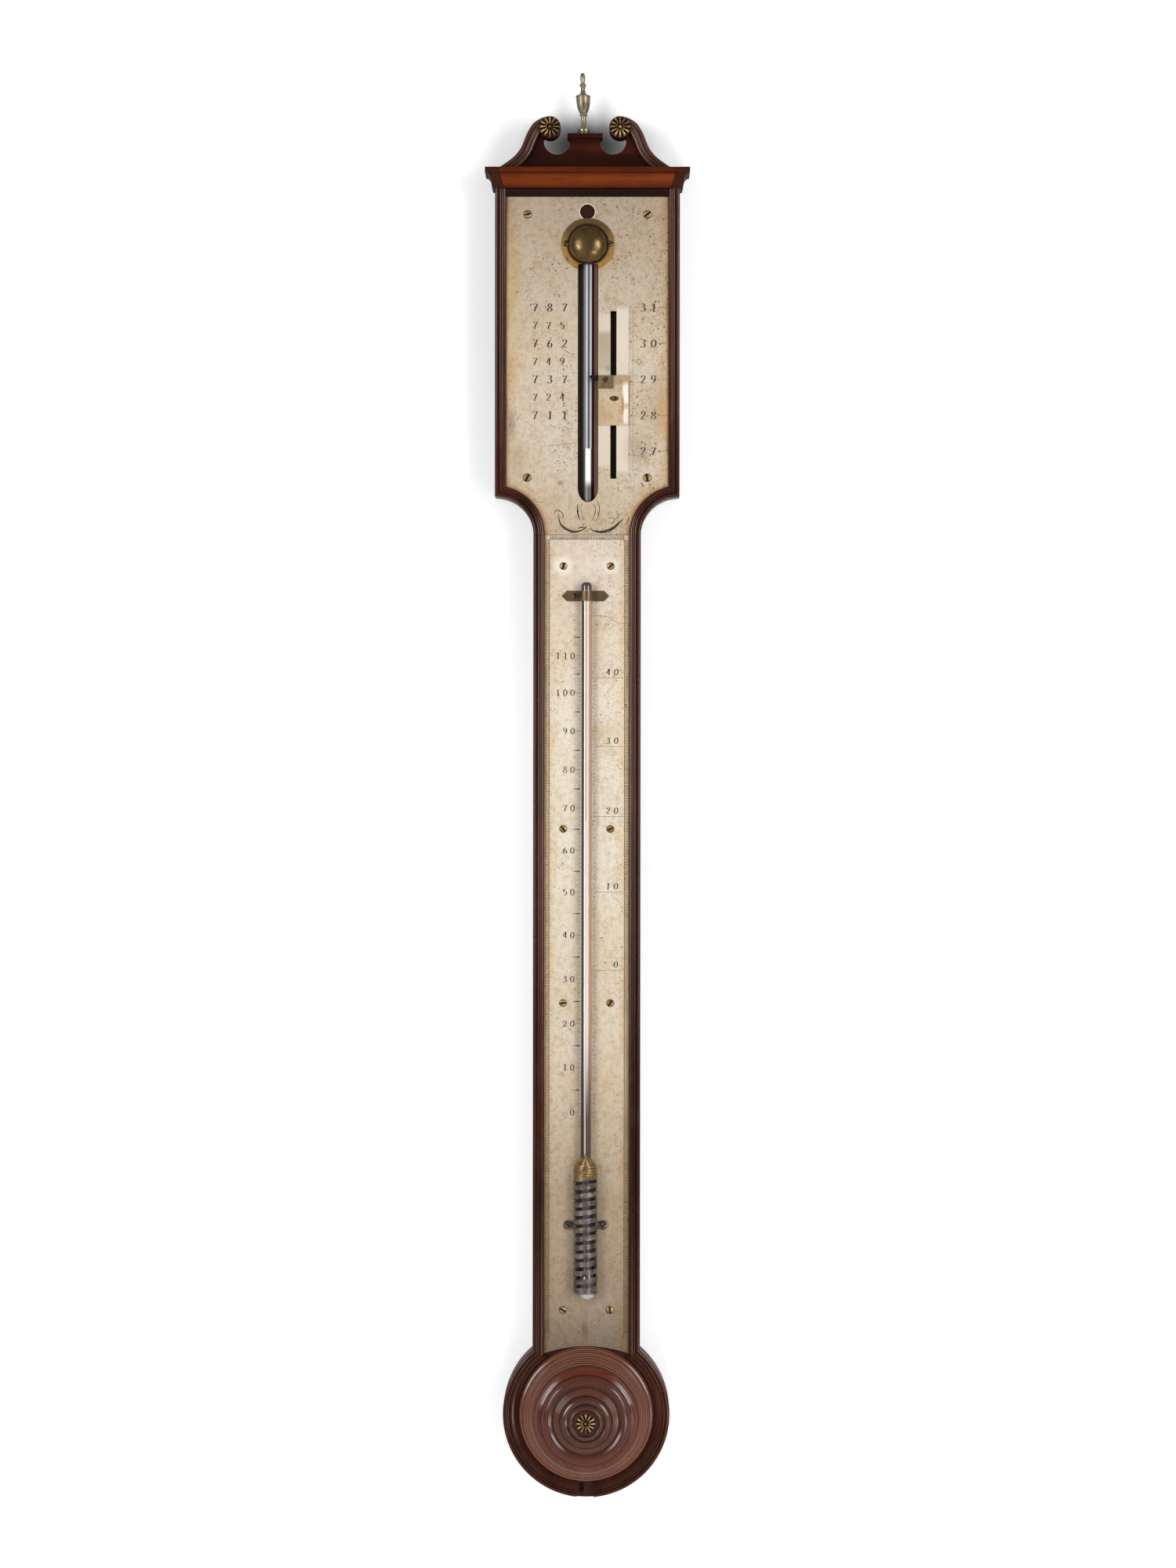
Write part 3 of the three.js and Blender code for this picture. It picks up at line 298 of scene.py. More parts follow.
def silvered(name, tones, half, shoulder, pitted, worn_and_lit, spots):
    """Old silvering over brass. tones are [height, colour], half the plate's half width,
    shoulder its concave [x, z, radius], next the rubbed fields and painted reflections as
    [x0, x1, z0, z1, strength, colour], spots the ovals [centre, reach, softness, strength, colour]."""
    p = Paint(name)
    x, z = p.x, p.level
    low, high = tones[0][0], tones[-1][0]
    p.color = p.ramp(z.linear(low, high), tones, low, high)
    rim = half - abs(x)
    if shoulder:
        out = p.get(0, "ShaderNodeCombineXYZ", {"X": abs(x) - shoulder[0], "Y": z - shoulder[1]})
        rim = p.maths("MINIMUM", rim, p.size(out) - shoulder[2])
    cloud = p.noise(24.0, 4.0, 0.62, distort=0.4)
    blotch = p.noise(80.0, 5.0, 0.68, distort=0.8)
    fibre = p.noise(1.0, 4.0, 0.7, p.stretch(700, 700, 90))
    mottle = p.noise(330.0, 4.0, 0.75)
    p.wash(cloud.step(0.4, 0.66, 0, 0.8), (0.95, 0.89, 0.79))
    p.wash(blotch.step(0.54, 0.72, 0, 0.75), (0.86, 0.72, 0.52))
    p.wash(fibre.step(0.45, 0.72, 0, 0.35), (0.84, 0.78, 0.68))
    p.wash(mottle.step(0.44, 0.66, 0, 0.9), (0.82, 0.76, 0.67))
    p.wash((rim + (cloud - 0.5) * 26).step(9, 0.5, 0, 0.7), (0.9, 0.72, 0.48))
    p.wash((rim + (blotch - 0.5) * 5).step(2.6, 0.3, 0, 0.7), (0.6, 0.48, 0.36))
    bare = 1.0
    for x0, x1, z0, z1, strength, tone in worn_and_lit:
        field = x.within(x0, x1, 0.4) * z.within(z0, z1, 2.5)
        field = field * cloud.step(0.25, 0.5, 0.75 * strength, strength)
        p.lay(field, tone)
        bare = bare * (1.0 - field)
    region = p.noise(40.0, 4.0, 0.65) + x * 0.0013
    shake = p.vector("MULTIPLY", p.noise(420.0, 2.0, output="Color"), (0.003, 0.003, 0.003))
    away, own = p.cells(340.0, p.vector("ADD", p.where, shake))
    some = p.get(0, "ShaderNodeSeparateColor", {"Color": own})
    dots = away.step(0.28, 0.14) * some.step(0.42, 0.5) * region.step(0.4, 0.58) * bare
    fine = p.cells(760.0)[0].step(0.3, 0.14) * region.step(0.4, 0.6, 0.15) * bare
    blots = p.noise(150.0, 5.0, 0.8, distort=1.2).step(0.6, 0.68) * region.step(0.46, 0.62) * bare
    p.lay(dots * (0.95 * pitted), "544634")
    p.lay(fine * pitted, "6c5c48")
    p.lay(blots * (0.75 * pitted), "7a6242")
    for centre, reach, soft, strength, tone in spots:
        p.lay(p.spot(*centre, *reach, soft) * strength, tone)
    scratch = p.noise(1.0, 2.0, 0.4, p.stretch(1600, 1600, 26, turn=(0, 0.32, 0)))
    p.lay(scratch.step(0.72, 0.8, 0, 0.5), "827058")
    p.bump((cloud, 0.00006), (dots, -0.00003), (p.noise(700.0, 3.0, 0.6), 0.00001))
    return p.finish("silvered_plate", Roughness=blotch.step(0.35, 0.7, 0.46, 0.66), Metallic=0.15,
                    IOR=1.5, Specular_IOR_Level=0.35)


def cap_brass():
    """Olive dome, a brown ring round its foot and a rim that is bright below and browner towards its top."""
    p = Paint("cap_brass")
    radius = p.radius(*DOME)
    patches = p.noise(160.0, 4.0, 0.65, distort=0.3)
    gold = p.mix(patches.step(0.45, 0.7), "be944c", "76582e")
    gold = p.mix(p.level.linear(-30, -8).step(0.2, 0.9), gold, "705834")
    ragged = radius + patches * 1.6
    p.color = p.mix(patches.step(0.35, 0.7), "7c653e", "58452a")
    p.lay(ragged.step(13.7, 14.2), "422c1c")
    p.lay(ragged.step(15.0, 16.4), gold)
    p.bump((patches, 0.00005))
    return p.finish("dark_brass", Roughness=patches.step(0.3, 0.7, 0.24, 0.34),
                    Metallic=radius.step(13.6, 14.2, 0.75, 0.45))


def turned_wood():
    """Lathe-turned mahogany: lighter crests, partly painted highlights, and dark quirks of painted shade about
    the axis, fine reeds at the rim.
    """
    p = Paint("turned_mahogany")
    radius = p.radius(0, BASE_Z)
    grain = p.noise(1.0, 4.0, 0.65, p.stretch(700, 700, 60), 0.4)
    cloud = p.noise(34.0, 3.0, 0.6)
    # Tones by radius: the dark quirks are painted shade and the lighter crests partly painted highlights; the
    # red band from 32.6 to 36.2 is rubbed.
    p.color = p.ramp(radius.linear(0, COVER_R), (
        (0, "46261c"), (8.7, "3a1e16"), (9.1, "26130e"), (10.2, "5a3327"), (12.3, "46261c"),
        (13.0, "26130e"), (14.6, "5c3427"), (17.4, "48261b"), (18.6, "321a13"), (19.2, "502c21"),
        (23.0, "4e2a1e"), (23.8, "341b14"), (25.2, "4c281d"), (28.0, "542d21"), (30.8, "502618"),
        (31.6, "421f14"), (32.6, "602a16"), (36.2, "622c18"), (37.1, "3c1d13"), (37.8, "643626"),
        (46.4, "6a3d2d"), (47.4, "28140f")), 0, COVER_R)
    p.wash(grain.step(0.35, 0.7, 0, 0.6), (0.62, 0.56, 0.52))
    p.wash(cloud.step(0.42, 0.66, 0, 0.7), (1.35, 1.05, 0.8))
    # Light lines on the reeds at the rim and on the fine rings inside are painted highlights; the dark lines
    # between the rim's reeds are painted shade.
    wave = p.maths("SINE", radius * (2 * math.pi / 1.18))
    rim = radius.step(37.6, 38.2)
    fine = wave.step(0.3, 0.9, 0, 0.5) * radius.within(19.0, 23.2, 0.2)
    p.lay(p.maths("MAXIMUM", wave.step(0.2, 0.9) * rim, fine) * 0.6, "ac7960")
    p.lay(wave.step(-0.5, -0.95) * rim * 0.7, "22110c")
    p.bump((wave, 0.00003))
    return p.finish("turned_wood", Roughness=cloud.step(0.3, 0.7, 0.16, 0.22), Coat_Weight=0.3,
                    Coat_Roughness=0.06, IOR=1.5)


def guard_metal():
    """Grey-brown sheet with painted warm glints; its hood is gold, scored across, its bright streaks partly
    painted highlights.
    """
    p = Paint("guard_brass")
    patches = p.noise(160.0, 4.0, 0.65, distort=0.3)
    scores = p.noise(1.0, 3.0, 0.7, p.stretch(160, 160, 2200))
    p.color = p.mix(patches.step(0.36, 0.6), "524a42", "7c746a")
    p.lay(p.noise(230.0, 3.0, 0.6).step(0.6, 0.72, 0, 0.8), "b08e58")
    p.lay(p.level.step(-684.9, -683.4), p.mix(scores.step(0.42, 0.6), "564024", "ac8c5c"))
    p.bump((scores, 0.00003))
    return p.finish("dark_brass", Roughness=patches.step(0.3, 0.7, 0.26, 0.42), Metallic=0.5)


def stem_glass():
    """Thermometer glass, painted as upright stripes of the light and shade on it: a dark edge, a white
    painted highlight, green, cream, and salmon for a painted reddish shadow; lower down they give way
    to dark with a thin painted highlight. The mercury ends below them."""
    p = Paint("stem_glass")
    across = p.x - (STEM_X - STEM_LEAN)
    flat = across.linear(-3.9, 3.9)
    stripes = p.ramp(flat, (
        (0.0, "b0aa96"), (0.06, "beb8a6"), (0.09, "463230"), (0.3, "523c3a"), (0.335, "ece4d6"),
        (0.41, "eee8dc"), (0.44, "707664"), (0.48, "6a6e5e"), (0.51, "e2dac2"), (0.6, "e4dcc6"),
        (0.64, "cea48a"), (0.88, "c0967e"), (0.95, "967660"), (1.0, "96826c")))
    low = p.ramp(flat, (
        (0.0, "685e50"), (0.1, "3a302a"), (0.3, "342b28"), (0.38, "bab5ae"), (0.45, "c4c0ba"),
        (0.49, "4c423a"), (0.7, "443a32"), (0.88, "58483c"), (1.0, "766a58")))
    p.color = p.mix(p.level.step(-560, -650), stripes, low)
    thread = p.level.step(-430.6, -431.2) * across.within(-1.5, 1.1, 0.15) * p.level.step(-640, -560)
    p.lay(thread, "d6d3ce")
    # The bulb is painted darker inside the guard, as shade, and pale below it.
    bulb = p.level.step(-668, -676)
    top = p.level.step(-268.5, -267.5)
    p.lay(top, "605854")
    p.lay(bulb, p.mix(p.level.step(-763, -766), "5c5c5f", "ceced0"))
    return p.finish("glass", Roughness=p.noise(80.0, 3.0, 0.6).step(0.3, 0.8, 0.16, 0.3),
                    Metallic=p.maths("MAXIMUM", bulb * 0.35, top * 0.5), Coat_Weight=0.4,
                    Coat_Roughness=0.05)


def tube_glass():
    """Barometer tube. Its back is clear; its front is painted with the light and shade on it: the windows'
    light as upright streaks with dark gaps, the groove's brown mirrored at its right, the mercury below
    them and painted shade over the dim end of the tube."""
    p = Paint("tube_glass")
    flat = p.x.linear(-5.0, 4.6)
    streaks = p.ramp(flat, (
        (0.0, "68625f"), (0.15, "8e8986"), (0.33, "969391"), (0.37, "262424"), (0.4, "bec0c4"),
        (0.55, "b6b8bc"), (0.58, "201e1e"), (0.63, "747374"), (0.69, "6c6b6c"), (0.71, "1e1c1c"),
        (0.74, "d0d2d4"), (0.83, "c6c8ca"), (0.86, "181413"), (0.88, "765448"), (1.0, "6e4c42")))
    full = p.ramp(flat, (
        (0.0, "605a58"), (0.2, "787370"), (0.33, "5c5856"), (0.36, "969594"), (0.43, "f0f0f0"),
        (0.7, "f4f4f4"), (0.79, "aaa8a6"), (0.83, "1c1817"), (0.88, "765448"), (1.0, "6e4c42")))
    dim = p.ramp(flat, (
        (0.0, "4a4644"), (0.3, "54504e"), (0.5, "807e7c"), (0.66, "605e5c"), (0.85, "282422"),
        (1.0, "221e1c")))
    front = (p.along("Y") * -1000).step(TUBE_DEPTH - 2.5, TUBE_DEPTH - 1.5)
    film = p.noise(60.0, 3.0, 0.6, p.stretch(1, 1, 0.06))
    streaks = p.mix(film.step(0.3, 0.7, 0, 0.25), streaks, 0.0)
    full = p.mix(p.level.step(-188, -195.5), full, dim)
    p.color = (0.93, 0.96, 0.95)
    p.lay(front, p.mix(p.level.step(-166.9, -167.6), streaks, full))
    return p.finish("glass", Roughness=0.02, IOR=1.47, Specular_IOR_Level=0.3,
                    Transmission_Weight=1.0 - front, Alpha=front * 0.6 + 0.4)


def quicksilver():
    p = Paint("quicksilver")
    film = p.noise(30.0, 3.0, 0.6, p.stretch(1, 1, 0.1))
    p.color = p.ramp(film, ((0.3, "e8e9ea"), (0.7, "f6f7f8")))
    # Painted shade below the foot of the plate's slot, where the tube runs under the plate; all mercury lower
    # down is this dark too.
    p.lay(p.level.step(-191, -196), "3a3838")
    return p.finish("mercury", Roughness=0.35, Metallic=0.2)


def wax_ink():
    p = Paint("engraving_wax")
    p.color = p.ramp(p.noise(240.0, 4.0, 0.75), ((0.4, "2a2119"), (0.6, "483a2b"), (0.76, "8a765c")))
    return p.finish(Roughness=0.7)


def kid_leather():
    p = Paint("kid_leather")
    grain = p.cells(1600.0)[0]
    p.color = p.mix(p.noise(90.0), "c4a882", "a48662")
    p.bump((grain, 0.00006))
    return p.finish(Roughness=grain.step(0.0, 0.6, 0.6, 0.8))


MAHOGANY = wood("mahogany", "26100b", "401e14", "5e2f1f", "Z", 0.2, 0.12, 0.8, 0.5, tube_groove=True)
# The swan necks' wood is lighter and greyer than the case's: a painted sheen.
NECK_PAINTED_SHEEN = wood("neck_wood", "321d17", "50372f", "6a5046", "Z", 0.22, 0.3, 0.8, 0.55)
MAHOGANY_X = wood("mahogany_cross", "180704", "2c0d06", "501b0b", "X", 0.46, 0.0, 0.9, 0.12)
RAIL = wood("rail_wood", "160806", "24100b", "381a10", "X", 0.42, 0.04, 0.8, 0.2)
CORNICE = wood("cornice_wood", "361105", "541f09", "7c3612", "X", 0.4, 0.0, 1.1, 0.14, 63.6,
               slot="cornice_wood")
CORNICE_END = wood("cornice_end_wood", "281009", "3e1a0e", "562614", "Z", 0.42, 0.05, 0.8, 0.25)
BOXWOOD = wood("boxwood", "78542e", "a07846", "ba9460", "Z", 0.45, 0.1)
REGISTER = silvered("register_silver", (
    (-228, "c4b29a"), (-180, "d4c7b6"), (-100, "d3c5b2"), (-40, "c1b19d"), (11, "b2a18d")),
    57.45, (HEAD, SHOULDER_Z, 35.3), 0.95,
    ((8.1, 16.2, -180, -72, 0.9, "daccb8"), (8.1, 16.2, -112, -85, 0.75, "a29076"),
     (13.0, 16.2, -113, -109, 0.6, "70926c"), (20.8, 29.3, -184, -68, 0.95, "ded1bf")),
    (((0, 0), (5.9, 5.9), 0.1, 0.8, "e8decc"), ((-54, -150), (3, 8), 0.9, 0.6, "8c7060"),
     ((-54, -112), (4, 14), 0.9, 0.45, "be925a"), ((-54, -58), (6, 32), 0.9, 0.35, "c0ae74"),
     ((-50, -176), (6, 12), 0.9, 0.4, "a08a5c"), ((48, -136), (9, 16), 0.9, 0.4, "aa8c64"),
     ((36, -168), (8, 10), 0.9, 0.4, "967a58"), ((-19, -192), (2, 1.6), 0.9, 0.6, "68523a"),
     ((53, -146), (4, 12), 0.9, 0.5, "c49a60")))
# The thermometer plate darkens towards its foot, painted shade; its two narrow fields beside the stem are a
# painted reflection of the glass, pale beside a greenish line.
LONGPLATE = silvered("thermometer_silver", (
    (-804, "827262"), (-775, "9c8c78"), (-740, "aa9882"), (-700, "b09f88"), (-600, "d8cbb8"),
    (-460, "e6dccb"), (-350, "e8ddcc"), (-229, "dccebe")), 30.1, None, 0.6,
    ((-4.7, -3.9, -640, -276, 0.8, "f4eee2"), (-5.7, -5.2, -640, -276, 0.5, "a8ac8c")),
    (((12, -368), (9, 6), 0.9, 0.5, "c4aa7a"), ((14, -382), (7, 3), 0.9, 0.4, "c4aa7a"),
     ((-0.8, -792), (2.2, 6), 0.6, 0.6, "604e3e"), ((-16.7, -250.7), (6.5, 6.5), 0.5, 0.7, "f6eee0"),
     ((16.7, -250.7), (5.5, 5.5), 0.5, 0.6, "f4ecde"), ((-7.6, -251.6), (2.6, 2.2), 0.5, 0.5, "baa48e"),
     ((1, -252), (14, 13), 0.9, 0.4, "e8ded2")))
# The slider's pale fields at its right, with an orange edge, are a painted reflection; the dark oval round its
# screw is painted shade in the recess.
VERNIER = silvered("vernier_silver", (
    (-151, "ceb89a"), (-133, "d0bca0"), (-116, "c4ae92")), 36.0, None, 0.7,
    ((25.2, 28.9, -136, -122, 0.95, "f6eee2"), (25.6, 28.9, -150, -139, 0.9, "f4eadc"),
     (24.2, 26.0, -142, -131, 0.7, "b0743e")),
    (((19.0, -132.2), (3.3, 1.8), 0.15, 1.0, "5c422a"), ((22, -119), (4, 3), 0.9, 0.5, "8e7454"),
     ((13, -145), (4, 3), 0.9, 0.4, "b08864"), ((10, -138), (3, 6), 0.9, 0.35, "a08660")))
SCREW = brass("screw_brass", "927042", "2e2012", "c4a06a", 0.36, 0.62, 0.5, wear_and_shine=True, slot="brass")
BRASS = brass("mellow_brass", "a88046", "604424", "d6ac64", 0.38, 0.75, 0.4)
OLD_BRASS = brass("old_brass", "9c8e76", "625442", "beaa82", 0.32, 0.65, 0.35)
BRONZE = brass("brown_bronze", "705c42", "3e2f21", "8c724c", 0.4, 0.6, 0.35)
OLIVE = brass("olive_brass", "867454", "5c4c34", "96825c", 0.36, 0.5, 0.3)
SCREW_DARK = brass("dark_screw", "604630", "241913", "96724c", 0.36, 0.6, 0.4, wear_and_shine=True)
PETALS = brass("petal_brass", "705230", "1e130d", "c49a62", 0.4, 0.45, 0.3, wear_and_shine=True)
STEEL = brass("blued_steel", "787a7e", "46464a", "a0a0a0", 0.3, 0.95, 0.4)
CAP = cap_brass()
GUARD = guard_metal()
COVER = turned_wood()
STEM = stem_glass()
TUBE_GLASS = tube_glass()
MERCURY = quicksilver()
WAX = wax_ink()
LEATHER = kid_leather()


# Meshes
def make(name, verts, faces, material, body="case", node=(), smooth=34.0, bevel=0.0, wear_and_shine=None):
    mesh = bpy.data.meshes.new(name)
    mesh.from_pydata([tuple(v) for v in verts], [], faces)
    work = bmesh.new()
    work.from_mesh(mesh)
    if wear_and_shine:
        layer = work.verts.layers.float.new("wear_and_shine")
        for vert, value in zip(work.verts, wear_and_shine):
            vert[layer] = value
    bmesh.ops.remove_doubles(work, verts=work.verts, dist=1e-7)
    bmesh.ops.dissolve_degenerate(work, edges=work.edges, dist=1e-8)
    bmesh.ops.recalc_face_normals(work, faces=work.faces)
    limit = math.radians(smooth)
    for face in work.faces:
        face.smooth = True
    for edge in work.edges:
        edge.smooth = len(edge.link_faces) == 2 and edge.calc_face_angle(0.0) < limit
    work.to_mesh(mesh)
    work.free()
    piece = bpy.data.objects.new(name, mesh)
    bpy.context.scene.collection.objects.link(piece)
    mesh.materials.append(material)
    if bevel:
        edge = piece.modifiers.new("softened", "BEVEL")
        edge.width = bevel * MM
        edge.segments = 2
        edge.limit_method = "ANGLE"
        edge.angle_limit = math.radians(40)
        edge.harden_normals = True
    blended = isinstance(body, tuple)
    if blended:
        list(body)
        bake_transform(piece)
    else:
        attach(piece, body)
    if node:
        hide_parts(*([node] if isinstance(node, str) else node))
    SLOTS[material.name] and not blended
    return piece


def pair(name, form, material, node):
    """A piece on the right and its mirror image on the left."""
    make(f"{name}_r", *form, material, node=f"{node}_right")
    make(f"{name}_l", *flipped(form), material, node=f"{node}_left")


def sweep(profile, stations):
    """Skin through one profile at a run of stations, with flat ends."""
    count = len(profile)
    verts = [station(u, v) for station in stations for u, v in profile]
    last = (len(stations) - 1) * count
    faces = []
    for low in range(0, last, count):
        for i in range(count):
            j = (i + 1) % count
            faces.append((low + i, low + j, low + count + j, low + count + i))
    return verts, [*faces, tuple(range(count)), tuple(range(last, last + count))]


def facing(profile, segments, x, z):
    """Form turned about an axis square to the wall, from [radius, depth] points."""
    return turned(profile, segments, lambda a, b, depth: place(x + a, depth, z + b))


def upright(profile, segments, x, depth):
    """Form turned about an upright axis, from [radius, height] points."""
    return turned(profile, segments, lambda a, b, z: place(x + a, depth + b, z))


def turned(profile, segments, at):
    verts, faces, rings = [], [], []
    for radius, along in profile:
        ring = []
        steps = 1 if radius < 1e-6 else segments
        for i in range(steps):
            angle = 2 * math.pi * i / segments
            a, b = radius * math.cos(angle), radius * math.sin(angle)
            ring.append(len(verts))
            verts.append(at(a, b, along))
        rings.append(ring)
    for low, high in zip(rings, rings[1:]):
        for i in range(segments):
            j = (i + 1) % segments
            corners = [low[i % len(low)], low[j % len(low)], high[j % len(high)], high[i % len(high)]]
            face = list(dict.fromkeys(corners))
            if len(face) > 2:
                faces.append(tuple(face))
    return verts, faces


def merge(*parts):
    verts, faces = [], []
    for part_verts, part_faces in parts:
        base = len(verts)
        verts += part_verts
        faces += [tuple(i + base for i in face) for face in part_faces]
    return verts, faces


def slab(outline, back, front, holes=()):
    """Front outline of [x, z] points, with through holes, between two depths."""
    work = bmesh.new()
    rings = []
    for loop in (outline, *holes):
        ring = [work.verts.new((x, z, 0)) for x, z in loop]
        rings.append(ring)
        for a, b in zip(ring, ring[1:] + ring[:1]):
            work.edges.new((a, b))
    work.verts.index_update()
    bmesh.ops.triangle_fill(work, use_beauty=True, use_dissolve=False, edges=work.edges[:], normal=(0, 0, 1))
    flat = [(v.co.x, v.co.y) for v in work.verts]
    caps = [tuple(v.index for v in f.verts) for f in work.faces]
    sides = [(a.index, b.index) for ring in rings for a, b in zip(ring, ring[1:] + ring[:1])]
    work.free()
    count = len(flat)
    verts = [place(x, back, z) for x, z in flat] + [place(x, front, z) for x, z in flat]
    faces = list(caps) + [tuple(i + count for i in reversed(cap)) for cap in caps]
    faces += [(a, b, b + count, a + count) for a, b in sides]
    return verts, faces


def box(x0, x1, d0, d1, z0, z1):
    return slab([(x0, z0), (x1, z0), (x1, z1), (x0, z1)], d0, d1)


def arc(x, z, radius, start, end, steps):
    """Points along an arc, in degrees."""
    points = []
    for i in range(steps + 1):
        angle = math.radians(start + (end - start) * i / steps)
        points.append((x + radius * math.cos(angle), z + radius * math.sin(angle)))
    return points


def circle(x, z, radius, steps):
    return arc(x, z, radius, 0, 360, steps)[:-1]


def flipped(part):
    verts, faces = part
    return [Vector((-v.x, v.y, v.z)) for v in verts], faces


def shifted(part, x, depth, z):
    verts, faces = part
    move = Vector((x * MM, -depth * MM, z * MM))
    return [v + move for v in verts], faces


def carve(piece, *parts):
    """Cuts closed forms out of a piece, for good."""
    for part in parts:
        tool_mesh = bpy.data.meshes.new("cutter")
        tool_mesh.from_pydata([tuple(v) for v in part[0]], [], part[1])
        work = bmesh.new()
        work.from_mesh(tool_mesh)
        bmesh.ops.recalc_face_normals(work, faces=work.faces)
        work.to_mesh(tool_mesh)
        work.free()
        tool = bpy.data.objects.new("cutter", tool_mesh)
        bpy.context.scene.collection.objects.link(tool)
        cut = piece.modifiers.new("cut", "BOOLEAN")
        cut.operation = "DIFFERENCE"
        cut.solver = "EXACT"
        cut.object = tool
        bpy.context.view_layer.update()
        graph = bpy.context.evaluated_depsgraph_get()
        shaped = bpy.data.meshes.new_from_object(piece.evaluated_get(graph))
        piece.modifiers.clear()
        old = piece.data
        piece.data = shaped
        bpy.data.meshes.remove(old)
        bpy.data.objects.remove(tool)


def dress(node, material):
    """A CAD node that is shown as it is, in a finish of its own."""
    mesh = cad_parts[node].data
    mesh.materials.clear()
    mesh.materials.append(material)


# Case
shoulder = arc(HEAD, SHOULDER_Z, HEAD - TRUNK, 90, 180, 24)
mitre = math.degrees(math.acos(TRUNK / BASE_R))
case_outline = (
    [(HEAD, CASE_TOP)] + shoulder + arc(0, BASE_Z, BASE_R, mitre, -180 - mitre, 96)
    + [(-x, z) for x, z in reversed(shoulder)] + [(-HEAD, CASE_TOP)]
)
case = make("case_wood", *slab(case_outline, 0, BOARD), MAHOGANY, node=("case_board", "base_block"))
# Room for the tube, the slider, the cistern, the key and its slit, and the hanging plate
carve(
    case,
    box(TUBE_X - 5.6, TUBE_X + 5.6, 10.4, BOARD + 1, -822, -15),
    box(12, 25, 12, BOARD + 1, -198.8, -60.2),
    box(TUBE_X - 14, TUBE_X + 14, 2, BOARD + 1, -886.5, -820.5),
    box(TUBE_X - NOTCH_HALF, TUBE_X + NOTCH_HALF, 10, BOARD - 0.7, -911, -885),
    box(TUBE_X - 3.9, TUBE_X - 0.8, 12, BOARD + 1, -907.6, -885),
    box(-7.75, 7.75, -1, 2.25, -14.25, CASE_TOP + 1),
)

# Planted moulding: ovolo, bead and a hollow towards the plate
mould = [(0, 0), (0, 0.58)]
mould += [(0.2 - 0.2 * math.cos(a), 0.58 + 0.42 * math.sin(a)) for a in [math.pi * i / 12 for i in range(1, 7)]]
mould += [(0.3, 0.99), (0.34, 0.92), (0.355, 0.76), (0.41, 0.74)]
mould += [(0.51 - 0.09 * math.cos(a), 0.8 + 0.15 * math.sin(a)) for a in [math.pi * i / 8 for i in range(9)]]
mould += [(0.61, 0.68), (0.65, 0.65)]
mould += [(0.8 - 0.14 * math.cos(a), 0.62 + 0.09 * math.sin(a)) for a in [math.pi * i / 6 for i in range(7)]]
mould += [(0.955, 0.5), (1, 0.44), (1, 0)]
MOULD = [(u * MOULD_W, v * MOULD_H) for u, v in mould]
# Round the base a broad smooth band takes the hollow's place and reaches the cover
band = mould[:mould.index((0.61, 0.68))]
band += [(0.62, 0.66), (0.68, 0.68), (0.8, 0.67), (0.95, 0.62), (1.1, 0.54), (1.25, 0.44), (1.38, 0.34)]
BASE_MOULD = [(u * MOULD_W, v * MOULD_H) for u, v in band] + [(BAND_W, 0.25 * MOULD_H), (BAND_W, 0)]


def station(x, z, inward_x, inward_z):
    return lambda u, v: place(x + inward_x * u, BOARD + v, z + inward_z * u)


def trunk_foot(u, v):
    """Mitre where the trunk's moulding meets that of the base."""
    return place(TRUNK - u, BOARD + v, BASE_Z + math.sqrt((BASE_R - u) ** 2 - (TRUNK - u) ** 2))


shoulder_r = HEAD - TRUNK
head_stations = [station(HEAD, CORNICE_FOOT, -1, 0)]
head_stations.append(lambda u, v: place(
    HEAD - u, BOARD + v, SHOULDER_Z + math.sqrt((shoulder_r + u) ** 2 - u ** 2)))
first = 180 - math.degrees(math.acos(MOULD_W / (shoulder_r + MOULD_W)))
for cos, sin in arc(0, 0, 1, first, 180, 22)[1:]:
    head_stations.append(station(HEAD + shoulder_r * cos, SHOULDER_Z + shoulder_r * sin, cos, sin))
head_mould = sweep(MOULD, head_stations)
trunk_mould = sweep(MOULD, [station(TRUNK, SHOULDER_Z - 0.02, -1, 0), trunk_foot])


def base_mould(side):
    end = side * TUBE_X + NOTCH_HALF
    stop = -math.degrees(math.acos(end / (BASE_R - BAND_W)))
    stations = [trunk_foot]
    for cos, sin in arc(0, 0, 1, mitre, stop, 64)[1:-1]:
        stations.append(station(BASE_R * cos, BASE_Z + BASE_R * sin, -cos, -sin))
    stations.append(lambda u, v: place(end, BOARD + v, BASE_Z - math.sqrt((BASE_R - u) ** 2 - end ** 2)))
    return sweep(BASE_MOULD, stations)


pair("head_mould", head_mould, MAHOGANY, "head_moulding")
pair("trunk_mould", trunk_mould, MAHOGANY, "trunk_moulding")
make("base_mould_r", *base_mould(1), MAHOGANY, node="base_moulding_right")
make("base_mould_l", *flipped(base_mould(-1)), MAHOGANY, node="base_moulding_left")
make("rail", *box(-57.4, 57.4, BOARD, BOARD + 3, 10.8, CORNICE_FOOT), RAIL, node="head_rail", bevel=0.4)

# Cornice
cove = [(2.0, 0), (2.0, 1.4), (2.4, 1.5)]
cove += [(2.4 + 3.9 * (1 - math.cos(a)), 1.6 + 8.4 * math.sin(a))
         for a in [math.pi * i / 24 for i in range(13)]]
cove += [(6.5, 10.1), (7.0, 10.2), (7.0, CORNICE_H - 0.25), (6.75, CORNICE_H)]
CORNICE_PROFILE = [(0, 0)] + cove + [(0, CORNICE_H)]
FRONT = BOARD + MOULD_H


def corner(side):
    return lambda u, v: place(side * (HEAD + u), FRONT + u, CORNICE_FOOT + v)


